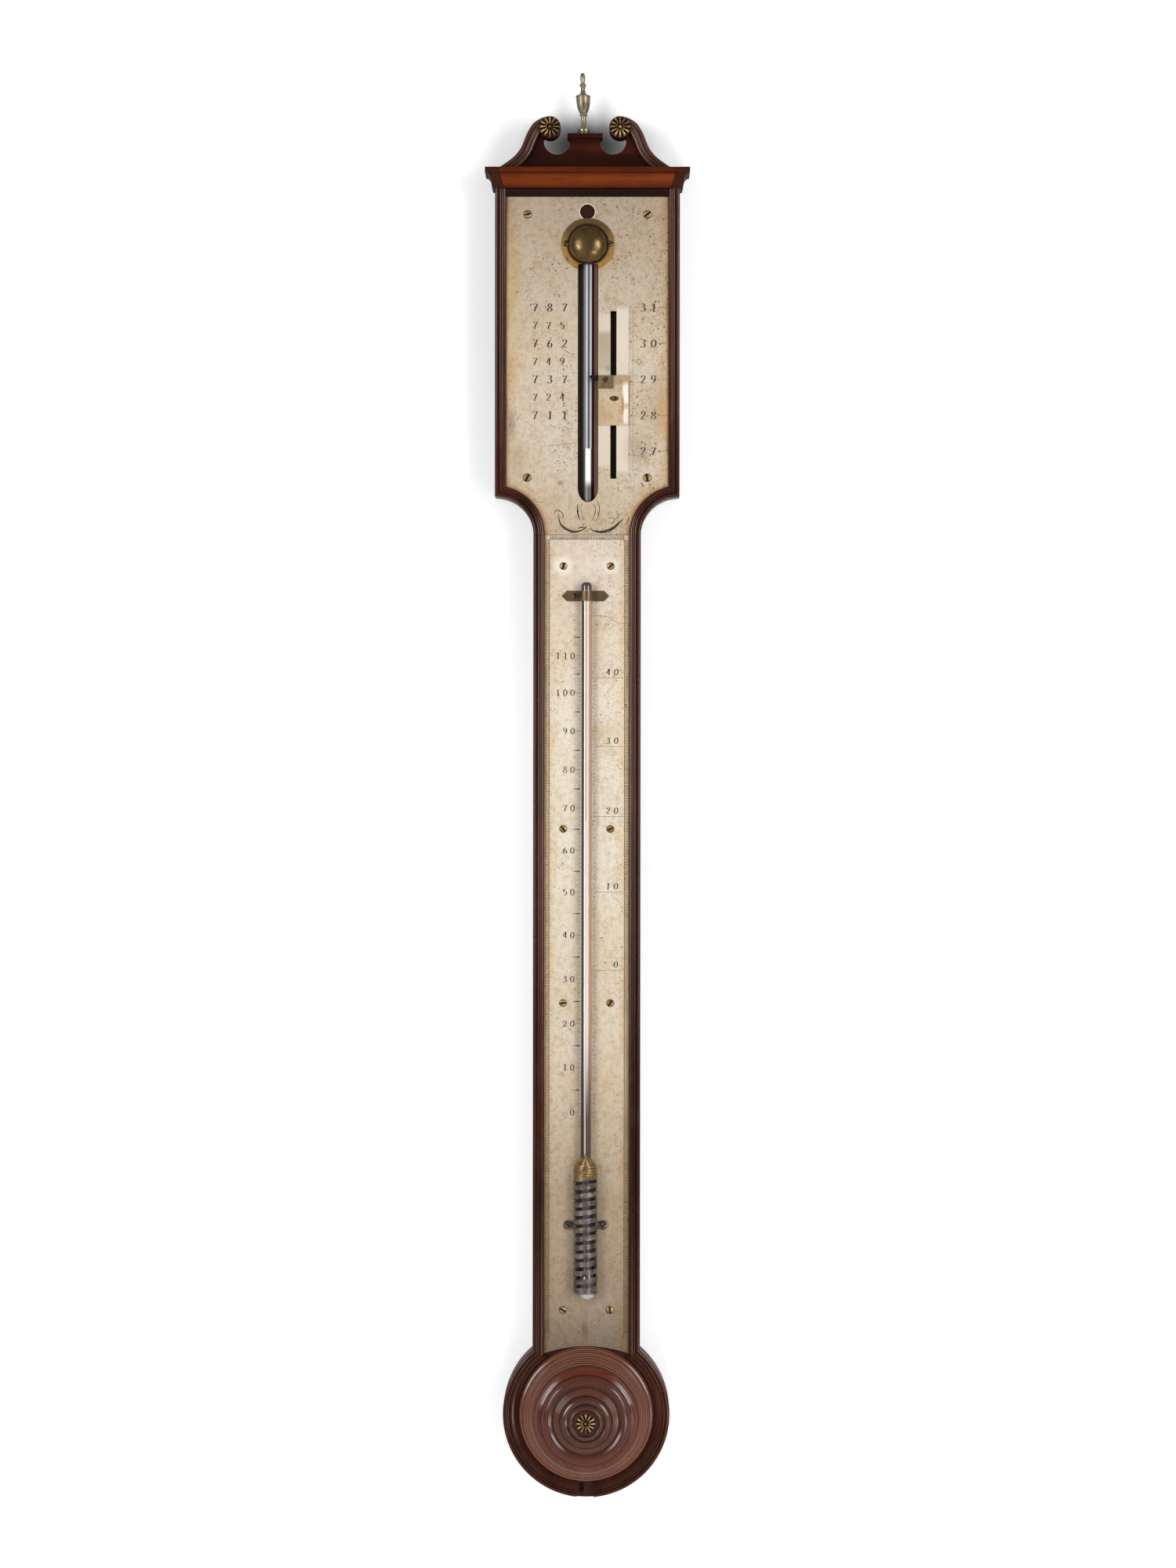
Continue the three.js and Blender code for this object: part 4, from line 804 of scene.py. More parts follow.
cornice_front = merge(
    sweep(CORNICE_PROFILE, [corner(-1), corner(1)]),
    box(-HEAD, HEAD, BOARD, FRONT, CORNICE_FOOT, CASE_TOP),
)
make("cornice_face", *cornice_front, CORNICE, node="cornice_front")
cornice_side = sweep(CORNICE_PROFILE, [corner(1), lambda u, v: place(HEAD + u, 0, CORNICE_FOOT + v)])
pair("cornice_side", cornice_side, CORNICE_END, "cornice_return")

# Pediment: the upper edge of a swan neck, its scroll and the lobe as [x, z, radius]
SWAN = [(24.8, 36.65), (29.6, 36.0), (34.4, 33.5), (37.4, 30.8), (40.8, 25.2), (43.1, 19.7), (45.6, 14.1),
        (50.0, 8.6), (57.3, 3.0), (62.5, 0), (69.0, -3.5)]
SCROLL = (24.8, 29.0, 7.65)
LOBE = (19.7, 19.7, 9.5)
PLINTH = 10.2
PLINTH_TOP = 19.9


def spline(points, steps):
    """Smooth curve through points, as (point, tangent) pairs."""
    out = []
    count = len(points) - 1
    for i in range(steps + 1):
        t = i / steps * count
        k = min(int(t), count - 1)
        f = t - k
        p0, p1 = points[max(k - 1, 0)], points[k]
        p2, p3 = points[k + 1], points[min(k + 2, count)]
        pos, tan = [], []
        for a, b, c, d in zip(p0, p1, p2, p3):
            square, cube = 2 * a - 5 * b + 4 * c - d, 3 * b - a - 3 * c + d
            pos.append(0.5 * (2 * b + (c - a) * f + square * f ** 2 + cube * f ** 3))
            tan.append(0.5 * ((c - a) + 2 * square * f + 3 * cube * f ** 2))
        size = math.hypot(*tan) or 1
        out.append((tuple(pos), (tan[0] / size, tan[1] / size)))
    return out


swan = spline(SWAN, 60)
gap_x, gap_z = SCROLL[0] - LOBE[0], SCROLL[1] - LOBE[1]
span = math.hypot(gap_x, gap_z)
along = (span ** 2 + LOBE[2] ** 2 - SCROLL[2] ** 2) / (2 * span)
aside = math.sqrt(LOBE[2] ** 2 - along ** 2)
meet = (LOBE[0] + (gap_x * along + gap_z * aside) / span, LOBE[1] + (gap_z * along - gap_x * aside) / span)
scroll_end = 360 + math.degrees(math.atan2(meet[1] - SCROLL[1], meet[0] - SCROLL[0]))
lobe_start = math.degrees(math.atan2(meet[1] - LOBE[1], meet[0] - LOBE[0]))
right = [p for p, _ in reversed(swan) if p[1] > 0]
right += arc(*SCROLL, 90, scroll_end, 40)[1:] + arc(*LOBE, lobe_start, -180, 36)[1:] + [(PLINTH, PLINTH_TOP)]
right = [(62.4, 0)] + right
pediment = shifted(slab(
    right + [(-x, z) for x, z in reversed(right)], PED_BACK, PED_FRONT), PED_X, 0, CASE_TOP)
make("pediment_face", *pediment, MAHOGANY_X, node="pediment_board", bevel=0.35)


def swan_neck():
    rail = []
    for i, (point, tangent) in enumerate(swan):
        inward = (0, -1) if i == 0 else (tangent[1], -tangent[0])
        rail.append(lambda u, v, p=point, n=inward: place(p[0] + n[0] * u, PED_FRONT + v, p[1] + n[1] * u))
    return sweep(MOULD, rail)


def scroll_disc():
    face = PED_FRONT + MOULD_H
    x, z, r = SCROLL
    return facing([(0, PED_FRONT), (r, PED_FRONT), (r, face - 0.5), (r - 0.5, face), (0, face)], 48, x, z)


below = shifted(box(-90, 90, 0, 60, -20, 0), 0, 0, CASE_TOP)
for side, tag in ((1, "r"), (-1, "l")):
    for label, form, node in (("swan_band", swan_neck(), f"swan_neck_{'right' if side > 0 else 'left'}"),
                              ("scroll_disc", scroll_disc(), None)):
        form = shifted(form if side > 0 else flipped(form), PED_X, 0, CASE_TOP)
        part = make(f"{label}_{tag}", *form, NECK_PAINTED_SHEEN if node else MAHOGANY, node=node or ())
        if node:
            carve(part, below)
cap = merge(
    box(-11, 11, PED_BACK - 0.8, PED_FRONT + 0.8, 0, 1.8),
    box(-12.5, 12.5, PED_BACK - 2.3, PED_FRONT + 2.3, 1.8, 5.15),
)
make("plinth_top", *shifted(cap, PED_X, 0, CASE_TOP + PLINTH_TOP), MAHOGANY_X,
     node="plinth_cap", bevel=0.3)

# Finial, old and a little out of true
URN_SHIFT = 0.7
URN_LEAN = 0.025
URN = [(0, 55.35), (4.4, 55.35), (4.4, 56.1), (3.7, 56.5), (4.3, 57.5), (4.33, 58.9), (3.2, 59.6), (2.2, 60.4),
       (1.8, 61.6), (1.75, 66), (1.85, 68.4), (2.7, 68.9), (2.7, 69.5), (2.15, 69.9), (2.9, 71.1), (3.7, 72.8),
       (4.35, 75), (4.75, 77.5), (4.98, 80), (5.02, 81.8), (5.27, 82.2), (5.27, 82.8), (4.9, 83.2), (3.6, 83.6),
       (2.4, 84.3), (1.8, 85.6), (1.5, 87.5), (1.7, 89.3), (2.3, 89.9), (2.44, 90.5), (2.3, 91.1), (1.5, 91.6),
       (1.4, 92.4), (1.75, 94), (1.83, 96.4), (1.5, 98.3), (0.8, 99.2), (0, 99.5)]
verts, faces = upright(URN, 40, PED_X, (PED_BACK + PED_FRONT) / 2)
foot = min(v.z for v in verts)
finial = [Vector((v.x - URN_SHIFT * MM - URN_LEAN * (v.z - foot), v.y, v.z)) for v in verts]
make("urn", finial, faces, OLD_BRASS, node="finial", smooth=50)


# Petalled rosettes
def rosette(radius, thick, base, x, z, petals):
    """Flower with a boss, ridged petals and dark gaps; gives each point how bright it is painted too: painted
    highlights on the boss and the petals' ridges, painted shade in the gaps.
    """
    rings, around = 26, petals * 12
    verts, faces, wear_and_shine = [place(x, base + thick, z)], [], [1.0]
    for i in range(1, rings + 1):
        reach = i / rings
        for j in range(around):
            turn = 2 * math.pi * j / around
            ridge = abs(math.cos(turn * petals / 2)) ** 0.6
            edge = radius * (1 - 0.1 * (1 - ridge) * reach)
            if reach < 0.17:
                rise, shine = 0.35 + 0.65 * math.sqrt(1 - (reach / 0.17) ** 2), 1.0
            else:
                swell = math.sin(math.pi * min(1, (reach - 0.16) / 0.82)) ** 0.6
                rise = 0.3 + 0.6 * swell * ridge
                shine = ridge ** 1.8 * min(1, max(0, (reach - 0.2) / 0.12))
            rise = 0.0 if i == rings else rise
            out = edge * reach
            verts.append(place(x + out * math.cos(turn), base + thick * rise, z + out * math.sin(turn)))
            wear_and_shine.append(shine)
    for j in range(around):
        faces.append((0, 1 + j, 1 + (j + 1) % around))
    for i in range(rings - 1):
        for j in range(around):
            a, b = 1 + i * around + j, 1 + i * around + (j + 1) % around
            faces.append((a, a + around, b + around, b))
    faces.append(tuple(range(1 + (rings - 1) * around, 1 + rings * around)))
    return verts, faces, wear_and_shine


def add_rosette(name, node, radius, base, x, z):
    verts, faces, wear_and_shine = rosette(radius, 2.55, base, x, z, petals=12)
    make(name, verts, faces, PETALS, node=node, smooth=60, wear_and_shine=wear_and_shine)


for tag, name, side in (("r", "right", 1), ("l", "left", -1)):
    add_rosette(f"flower_{tag}", f"rosette_{name}", 7.35, PED_FRONT + MOULD_H, PED_X + side * SCROLL[0],
                CASE_TOP + SCROLL[1])

# Register plate
FACE_HALF = HEAD - MOULD_W - GAP
JOINT_Z = -228.3
PLATE_TOP = 10.55
inner_r = shoulder_r + MOULD_W + GAP
turn_in = math.degrees(math.acos((FACE_HALF - HEAD) / inner_r))
sweep_in = [p for p in arc(HEAD, SHOULDER_Z, inner_r, turn_in, 180, 24) if p[1] > JOINT_Z]
narrow = HEAD - math.sqrt(inner_r ** 2 - (JOINT_Z - SHOULDER_Z) ** 2)
plate_right = [(FACE_HALF, PLATE_TOP)] + sweep_in + [(narrow, JOINT_Z)]
register_outline = plate_right + [(-x, z) for x, z in reversed(plate_right)]
tube_slot = [(0.5 + 7.2 * math.cos(a), -205.4 + 10 * (1 + math.sin(a)))
             for a in [math.pi * (1 + i / 20) for i in range(21)]]
tube_slot += [(7.7, -28), (-6.7, -28)]
vernier_slot = [(16.4, -188.8), (20.6, -188.8), (20.6, -70.2), (16.4, -70.2)]
register = slab(register_outline, BOARD, PLATE, (circle(0, 0, 5.3, 40), tube_slot, vernier_slot))
make("register", *register, REGISTER, node="register_plate", bevel=0.12)

# Thermometer plate
LONG_HALF = TRUNK - MOULD_W - GAP
LONG_TOP = JOINT_Z - GAP
LONG_FOOT = BASE_Z + COVER_R + GAP
SAG = 5.1
foot_r = (LONG_HALF ** 2 + SAG ** 2) / (2 * SAG)
reach = math.degrees(math.asin(LONG_HALF / foot_r))
long_outline = [(-LONG_HALF, LONG_TOP)] + arc(0, LONG_FOOT - foot_r, foot_r, 90 + reach, 90 - reach, 24)
long_outline += [(LONG_HALF, LONG_TOP)]
bulb_hole = arc(STEM_X, -763.6, 6.2, 180, 360, 16) + arc(STEM_X, -752, 6.2, 0, 180, 16)
make("long_plate", *slab(long_outline, BOARD, PLATE, (bulb_hole,)), LONGPLATE,
     node="thermometer_plate", bevel=0.12)


# Engraving: plain numbers and rules, filled with dark wax
DIGITS = {
    "0": [[(0.3, 1), (0.1, 0.82), (0.03, 0.5), (0.1, 0.18), (0.3, 0), (0.5, 0.18), (0.57, 0.5), (0.5, 0.82),
           (0.3, 1)]],
    "1": [[(0.1, 0.86), (0.34, 1)], [(0.34, 1), (0.34, 0)], [(0.14, 0), (0.54, 0)]],
    "2": [[(0.06, 0.72), (0.12, 0.93), (0.3, 1), (0.49, 0.9), (0.5, 0.7), (0.38, 0.45), (0.18, 0.2),
           (0.04, 0.03)],
          [(0.04, 0.03), (0.2, 0.1), (0.4, 0), (0.58, 0.1)]],
    "3": [[(0.08, 0.9), (0.24, 1), (0.42, 0.94), (0.46, 0.76), (0.36, 0.6), (0.2, 0.54)],
          [(0.2, 0.54), (0.42, 0.5), (0.54, 0.3), (0.46, 0.08), (0.26, 0), (0.1, 0.05), (0.06, 0.16)]],
    "4": [[(0.42, 0), (0.42, 1)], [(0.42, 1), (0.03, 0.28)], [(0.03, 0.28), (0.58, 0.28)]],
    "5": [[(0.14, 0.97), (0.5, 0.98)], [(0.14, 0.97), (0.11, 0.55)],
          [(0.11, 0.55), (0.28, 0.63), (0.47, 0.54), (0.54, 0.32), (0.44, 0.08), (0.25, 0), (0.08, 0.06)]],
    "6": [[(0.48, 0.94), (0.3, 0.88), (0.12, 0.6), (0.07, 0.3), (0.16, 0.06), (0.31, 0), (0.47, 0.08),
           (0.54, 0.28), (0.46, 0.5), (0.29, 0.56), (0.12, 0.42)]],
    "7": [[(0.05, 0.86), (0.12, 0.98), (0.34, 0.92), (0.58, 0.98)], [(0.58, 0.98), (0.36, 0.52), (0.24, 0)]],
    "8": [[(0.3, 0.54), (0.13, 0.66), (0.11, 0.86), (0.3, 1), (0.49, 0.86), (0.46, 0.68), (0.3, 0.54),
           (0.1, 0.38), (0.06, 0.16), (0.3, 0), (0.54, 0.16), (0.5, 0.38), (0.3, 0.54)]],
}
DIGITS["9"] = [[(0.6 - x, 1 - z) for x, z in DIGITS["6"][0]]]
INK = PLATE + 0.03


def ribbon(points, thick, thin, swell=False):
    """Pen stroke through [x, z] points: broad where it runs down, fine where it runs across."""
    path = spline(points, 4 * (len(points) - 1) if len(points) > 2 else 2)
    verts = []
    for i, ((x, z), (dx, dz)) in enumerate(path):
        wide = thin + (thick - thin) * (math.sin(math.pi * i / (len(path) - 1)) if swell else abs(dz) ** 2)
        nx, nz = dz * wide / 2, dx * wide / 2
        verts += [place(x - nx, INK, z + nz), place(x + nx, INK, z - nz)]
    return verts, [(2 * i, 2 * i + 1, 2 * i + 3, 2 * i + 2) for i in range(len(path) - 1)]


def number(value, right, z, high, pitch, thick=0.75, slant=0.06):
    """Widely spaced figures, the last one ending at right, centred on the height z."""
    strokes = []
    for place_left, digit in enumerate(reversed(str(value))):
        left = right - 0.6 * high - place_left * pitch
        for stroke in DIGITS[digit]:
            path = [(left + (x + slant * h) * high, z + (h - 0.5) * high) for x, h in stroke]
            strokes.append(ribbon(path, thick, 0.22))
    return merge(*strokes)


def rule(x0, x1, z0, z1, wide=0.2, end=None):
    """Straight cut, drawn out to a point when its end width is given."""
    end = wide if end is None else end
    size = math.hypot(x1 - x0, z1 - z0)
    nx, nz = (z0 - z1) / size / 2, (x1 - x0) / size / 2
    verts = [place(x0 + nx * wide, INK, z0 + nz * wide), place(x0 - nx * wide, INK, z0 - nz * wide),
             place(x1 - nx * end, INK, z1 - nz * end), place(x1 + nx * end, INK, z1 + nz * end)]
    return verts, [(0, 1, 2, 3)]


INCH = 25.4
INCH_31 = -67.8
scale = [rule(x, x, INCH_31, INCH_31 - 4.6 * INCH, wide)
         for x, wide in ((32.2, 0.14), (56.6, 0.14), (29.5, 0.12))]
scale.append(rule(32.2, 37, INCH_31, INCH_31, 0.12))
for k in range(5):
    z = INCH_31 - k * INCH
    scale.append(number(31 - k, 48.4, z, 5.6, 7.4, 1.1))
    scale.append(rule(49.6, 56.5, z, z, 0.2))
    if k < 4:
        scale.append(number(round((31 - k) * INCH), -14.6, z, 5.6, 10.4, 1.15))
    if k < 3:
        scale.append(number(round((30.5 - k) * INCH), -16.4, z - INCH / 2, 5.0, 9.6, 0.95))
    if k != 1:
        scale.append(rule(36.1, 33.2, z - INCH / 2, z - INCH / 2, 0.55, 0.12))
scale += [rule(34.5, 36.3, -106.1, -104.2, 0.3), rule(36.3, 39.1, -104.2, -106.1, 0.3),
          rule(39.1, 36.3, -106.1, -108, 0.3), rule(36.3, 34.5, -108, -106.1, 0.3)]
flourish = [ribbon(points, *pen, swell=True) for points, pen in (
    ([(6.3, -203.4), (8.4, -207.6), (8.6, -211.5), (7.4, -216.3), (5.6, -219.7)], (0.5, 0.15)),
    ([(4.1, -206.3), (5.8, -209.6), (5.6, -213.1), (4.4, -216.3), (3.1, -218.6)], (0.5, 0.15)),
    ([(-6.7, -206.9), (-6.8, -211.2), (-6.3, -214.7), (-5.1, -218.2)], (1.1, 0.2)),
    ([(-3.7, -206.5), (-4.5, -209.6), (-4.1, -212.8), (-3.1, -216.5)], (0.3, 0.15)),
    ([(-20.1, -213.8), (-19.4, -219.6), (-16.2, -223.6), (-11.9, -225.8),
      (-8.1, -226.4), (-4.2, -225.4), (-0.6, -223.5)], (1.7, 0.15)),
    ([(1.6, -224.0), (5.6, -226.0), (10.3, -226.5), (15.4, -225.4),
      (19.6, -222.9), (23.0, -219.6), (25.8, -217.1)], (2.1, 0.15)),
    ([(20.8, -213.1), (22.2, -214.6), (21.6, -216.6), (20.0, -217.4)], (0.6, 0.15)),
    ([(15.4, -217.4), (18.9, -216.6), (19.4, -218.6), (17.3, -220.5), (15.5, -219.7)], (0.5, 0.15)),
    ([(29.0, -215.1), (29.2, -217.8), (27.8, -220.9), (26.3, -221.9)], (0.6, 0.15)),
    ([(-20.5, -210.8), (-17.9, -212.8), (-16.8, -215.3), (-18.3, -217.4)], (0.6, 0.15)),
    ([(-23.9, -214.1), (-21.8, -211.3), (-19.2, -212.3)], (0.5, 0.15)),
    ([(-6.9, -224.9), (-4.7, -223.1), (-1.9, -223.6), (0.0, -222.4)], (0.9, 0.15)),
    ([(-20.0, -94.9), (-15.8, -98.0), (-11.5, -100.6), (-6.4, -101.0)], (0.35, 0.1)),
    ([(-32.8, -166.0), (-24.7, -165.4), (-15.3, -164.2), (-6.4, -163.5)], (0.3, 0.1)),
    ([(-47.5, -203.8), (-40.8, -203.5), (-34.1, -205.4), (-27.5, -205.7)], (0.25, 0.1)),
)]
make("register_marks", *merge(*scale, *flourish), WAX)

DEGREES = [(110, -314.2), (100, -340.3), (90, -367.5), (80, -394.7), (70, -422.0), (60, -451.9),
           (50, -481.4), (40, -511.9), (30, -543.0), (20, -574.6), (10, -605.7), (0, -637.4)]


def degree_height(value):
    """Height of a Fahrenheit degree, which the old divisions space unevenly."""
    spans = ((a, b) for a, b in zip(DEGREES[1:], DEGREES) if value >= a[0])
    low, high = next(spans, (DEGREES[-1], DEGREES[-2]))
    return low[1] + (value - low[0]) / 10 * (high[1] - low[1])


degrees = [ribbon([(3.3, -285.7), (14.0, -286.5), (21.8, -290.7), (29.7, -291.5)], 0.3, 0.1, swell=True)]
for value, z in DEGREES:
    degrees.append(number(value, -8.9, z, 4.4, 5.2, 0.8, 0.02))
    degrees.append(rule(-7.6, -4.0, z, z, 0.2))
for value in range(-3, 118):
    z = degree_height(value)
    degrees += [rule(-5.4, -4.2, z, z, 0.22), rule(4.7, 5.9, z, z, 0.22)]
    if value % 10 == 5:
        degrees.append(rule(-5.2, -10.4, z, z, 0.9, 0.1))
for value in range(0, 41, 10):
    z = degree_height(32 + 1.8 * value)
    degrees.append(number(value, 21.8, z + 4.2, 4.4, 5.6, 0.85, 0.1))
    degrees.append(rule(5.9, 26.0, z, z, 0.24))
inner, outer, low_line, top_line, end = 26.6, 29.4, -231.8, -229.0, -798.0
middle = (inner + outer) / 2
for side in (-1, 1):
    degrees += [rule(side * inner, side * inner, low_line, end, 0.36),
                rule(side * outer, side * outer, top_line, end, 0.24)]
    for i in range(480):
        z = low_line - 0.5 - i * 1.17
        degrees += [rule(side * (inner + 0.15), side * middle, z, z - 0.55, 0.42),
                    rule(side * middle, side * (outer - 0.1), z - 0.55, z, 0.38)]
degrees += [rule(-outer, outer, top_line, top_line, 0.16), rule(-inner, inner, low_line, low_line, 0.26)]
for i in range(46):
    x = -inner + 0.6 + i * 1.15
    degrees += [rule(x, x + 0.5, low_line, low_line + 1.4, 0.5),
                rule(x + 0.5, x, low_line + 1.4, top_line, 0.32)]
make("thermometer_marks", *merge(*degrees), WAX)


# Slotted screws
def screw(name, x, z, radius, base, proud, turn, material=SCREW, node=(), body="case"):
    # Each point is [radius, height, how bright it is painted]: dark at the rim, painted shade in the
    # countersink, and bright over the top.
    profile = [(0, 0, 0), (1, 0, 0), (1, 0.3, 0), (0.96, 0.5, 0.2), (0.8, 0.82, 1), (0.5, 0.96, 1), (0.2, 1, 1),
               (0, 1, 1)]
    head = facing([(radius * r, base + proud * h) for r, h, _ in profile], 28, x, z)
    wear_and_shine = [w for r, _, w in profile for _ in range(28 if r else 1)]
    piece = make(name, *head, material, body, node, smooth=50, wear_and_shine=wear_and_shine)
    c, s = math.cos(math.radians(turn)), math.sin(math.radians(turn))
    long, wide = radius * 1.2, max(0.32, radius * 0.15)
    cut = [(x + a * long * c - b * wide * s, z + a * long * s + b * wide * c)
           for a, b in ((-1, -1), (1, -1), (1, 1), (-1, 1))]
    carve(piece, slab(cut, base + proud * 0.12, base + proud + 1))


turns = [35, 12, 100, 60, 40, 75, 20, 130, 55, 5, 95, 150]
places = [("register_screw_top", 42.4, -1.9, 2.95), ("register_screw_foot", 42.4, -188.2, 2.95)]
places += [(f"thermometer_screw_{i + 1}", 16.7, z, 2.7) for i, z in enumerate((-250.7, -436.7, -560, -777.3))]
for i, (name, x, z, radius) in enumerate(places):
    screw(f"{name}_r", x, z, radius, PLATE, 0.88, turns[2 * i], node=f"{name}_right")
    screw(f"{name}_l", -x, z, radius, PLATE, 0.88, turns[2 * i + 1], node=f"{name}_left")

# Cap over the tube
cap_profile = [(0, PLATE), (18.7, PLATE), (18.7, PLATE + 1.0), (18.4, PLATE + 1.28), (13.8, PLATE + 1.28)]
cap_profile += [(13.6 * math.cos(a), PLATE + 1.3 + 8.45 * math.sin(a)) for a in
                [math.pi / 2 * i / 18 for i in range(19)]]
cap_profile[-1] = (0, PLATE + 9.75)
tube_cap = make("cap", *facing(cap_profile, 72, *DOME), CAP, node="tube_cap", smooth=40)
carve(tube_cap, box(-6.7, 7.7, BOARD, PLATE + 1.5, -45, DOME[1] - 13.9))
for name, x, turn in (("cap_screw_l", -15.2, 60), ("cap_screw_r", 16.2, 20)):
    screw(name, x, -22.7, 2.3, PLATE + 1.28, 0.6, turn, SCREW_DARK)

# Barometer tube and its mercury. The tube leans: its head lies to the right of its foot
def leaning(part):
    verts, faces = part
    head, foot = (-230 - HANG) * MM, (-820 - HANG) * MM
    return [Vector((v.x + TUBE_LEAN * MM * min(1, max(0, (v.z - foot) / (head - foot))), v.y, v.z))
            for v in verts], faces


tube = [(0, -16), (2.2, -16.5), (3.5, -18), (3.9, -20.5), (3.9, -230), (3.9, -820), (3.9, -864), (2.8, -864),
        (2.8, -820), (2.8, -230), (2.8, -21), (2.1, -19.6), (0, -19)]
tube = leaning(upright(tube, 48, TUBE_X, TUBE_DEPTH))
make("glass_tube", *tube, TUBE_GLASS, node="barometer_tube", smooth=50)
column = [(0, -863.6), (2.65, -863.6), (2.65, -820), (2.65, -230), (2.65, -168.6), (2.3, -167.6),
          (1.4, -167.05), (0, -166.9)]
column = leaning(upright(column, 40, TUBE_X, TUBE_DEPTH))
make("column", *column, MERCURY, node="mercury_column", smooth=50)

# Vernier, and the index on it
VERNIER_FRONT = PLATE + 1.5
INDEX_FRONT = PLATE + 2.6
vernier = make("vernier_face", *box(8.1, 29.3, PLATE + 0.3, VERNIER_FRONT, -151.2, -115.9), VERNIER, "vernier",
               "vernier_plate", bevel=0.15)
carve(vernier, slab([(19.0 + 2.9 * math.cos(a), -132.2 + 1.5 * math.sin(a)) for a in
                     [math.pi * i / 12 for i in range(24)]], PLATE + 0.8, PLATE + 2))
screw("vernier_screw", 19.6, -132.2, 1.45, PLATE + 0.8, 0.6, 80, SCREW_DARK, body="vernier")
index_outline = [(7.9, -125.3), (18.5, -125.3), (18.5, -115.9), (7.9, -115.9)]
pointer = [(7.9, -119.8), (7.9, -115.9), (3.0, -115.9), (1.2, -116.4), (2.6, -118.2), (3.0, -119.8)]
make("pointer", *slab(pointer, VERNIER_FRONT, INDEX_FRONT), SCREW_DARK, "vernier", bevel=0.15)
make("index_face", *slab(index_outline, VERNIER_FRONT, INDEX_FRONT), OLIVE, "vernier", "vernier_index",
     bevel=0.15)
screw("index_screw", 13.0, -118.7, 1.9, INDEX_FRONT, 0.35, 30, SCREW_DARK, body="vernier")

# Thermometer
stem = [(0, -262.1), (2.2, -262.4), (3.4, -263.4), (3.8, -265), (3.8, -700), (3.8, -748), (4.0, -750),
        (5.0, -753), (5.5, -757), (5.5, -764), (4.9, -767.2), (3.2, -769), (0, -769.5)]
stem_verts, stem_faces = upright(stem, 48, STEM_X, STEM_DEPTH)
for v in stem_verts:
    v.x -= STEM_LEAN * MM * min(1, max(0, (v.z / MM + HANG + 765) / 60))
make("stem", stem_verts, stem_faces, STEM, node="thermometer_glass", smooth=50)


def bar(outline, z0, z1):
    """Outline of [x, depth] points run up between two heights."""
    count = len(outline)
    verts = [place(x, d, z0) for x, d in outline] + [place(x, d, z1) for x, d in outline]
    faces = [(i, (i + 1) % count, count + (i + 1) % count, count + i) for i in range(count)]
    return verts, faces + [tuple(range(count)), tuple(range(count, 2 * count))]


def strap(outer, inner, depth):
    """Section of a bent strap over a round stem."""
    x = STEM_X - STEM_LEAN
    return [(x + outer, PLATE + 0.1), *arc(x, depth, outer, 0, 180, 20), (x - outer, PLATE + 0.1),
            (x - inner, PLATE + 0.1), *arc(x, depth, inner, 180, 0, 20), (x + inner, PLATE + 0.1)]


CLIP = (-268.2, -275.6)
middle = (CLIP[0] + CLIP[1]) / 2
wing_l = [(-4.4, CLIP[0]), (-14.1, CLIP[0]), (-17.8, middle), (-14.1, CLIP[1]), (-4.4, CLIP[1])]
wing_r = [(3.6, CLIP[1]), (11.9, CLIP[1]), (15.6, middle), (11.9, CLIP[0]), (3.6, CLIP[0])]
clip = merge(slab(wing_l, PLATE, PLATE + 0.8), slab(wing_r, PLATE, PLATE + 0.8),
             bar(strap(4.5, 3.9, STEM_DEPTH), CLIP[1], CLIP[0]))
make("clip", *clip, BRONZE, node="thermometer_clip", bevel=0.12)
screw("clip_screw", -8.5, middle, 1.9, PLATE + 0.8, 0.6, 100, SCREW_DARK)


# Pierced guard
GUARD_X = -0.6
LUG_Z = -717.1


def guard():
    """Half round of sheet with slanting slots, its hood drawn to a point. A row is its height, its
    share of the half width, its slant and whether a slot lies below it."""
    half, axis = 8.1, PLATE + 3.3
    foot, rise, across = -764.8, 2.2, 24
    pitch, high, first, count = 6.06, 2.5, -687.2, 13
    lancet = [(-667.0, 0.12), (-668.3, 0.22), (-669.6, 0.37), (-671.0, 0.54), (-672.4, 0.68), (-673.8, 0.81),
              (-675.2, 0.91), (-676.8, 0.98), (-678.5, 1), (-681.0, 1), (-684.6, 1)]
    rows = [(z, width, 0, 0) for z, width in lancet]
    for k in range(count):
        z = first - k * pitch
        rows += [(z + high / 2, 1, rise, 1), (z - high / 2, 1, rise, 0)]
    rows += [(foot + 1.6, 1, rise * 0.5, 0), (foot, 1, 0, 0)]
    verts, faces = [], []
    for z, width, slant, _ in rows:
        for j in range(across + 1):
            turn = math.pi * (j / across - 0.5)
            x = half * width * math.sin(turn)
            depth = axis + half * math.cos(turn) if abs(j / across - 0.5) < 0.499 else PLATE
            verts.append(place(GUARD_X + x, depth, z + slant * (x / half + 1) / 2))
    for i in range(len(rows) - 1):
        for j in range(across):
            if rows[i][3] and 3 <= j < across - 3:
                continue
            a = i * (across + 1) + j
            faces.append((a, a + 1, a + across + 2, a + across + 1))
    return verts, faces


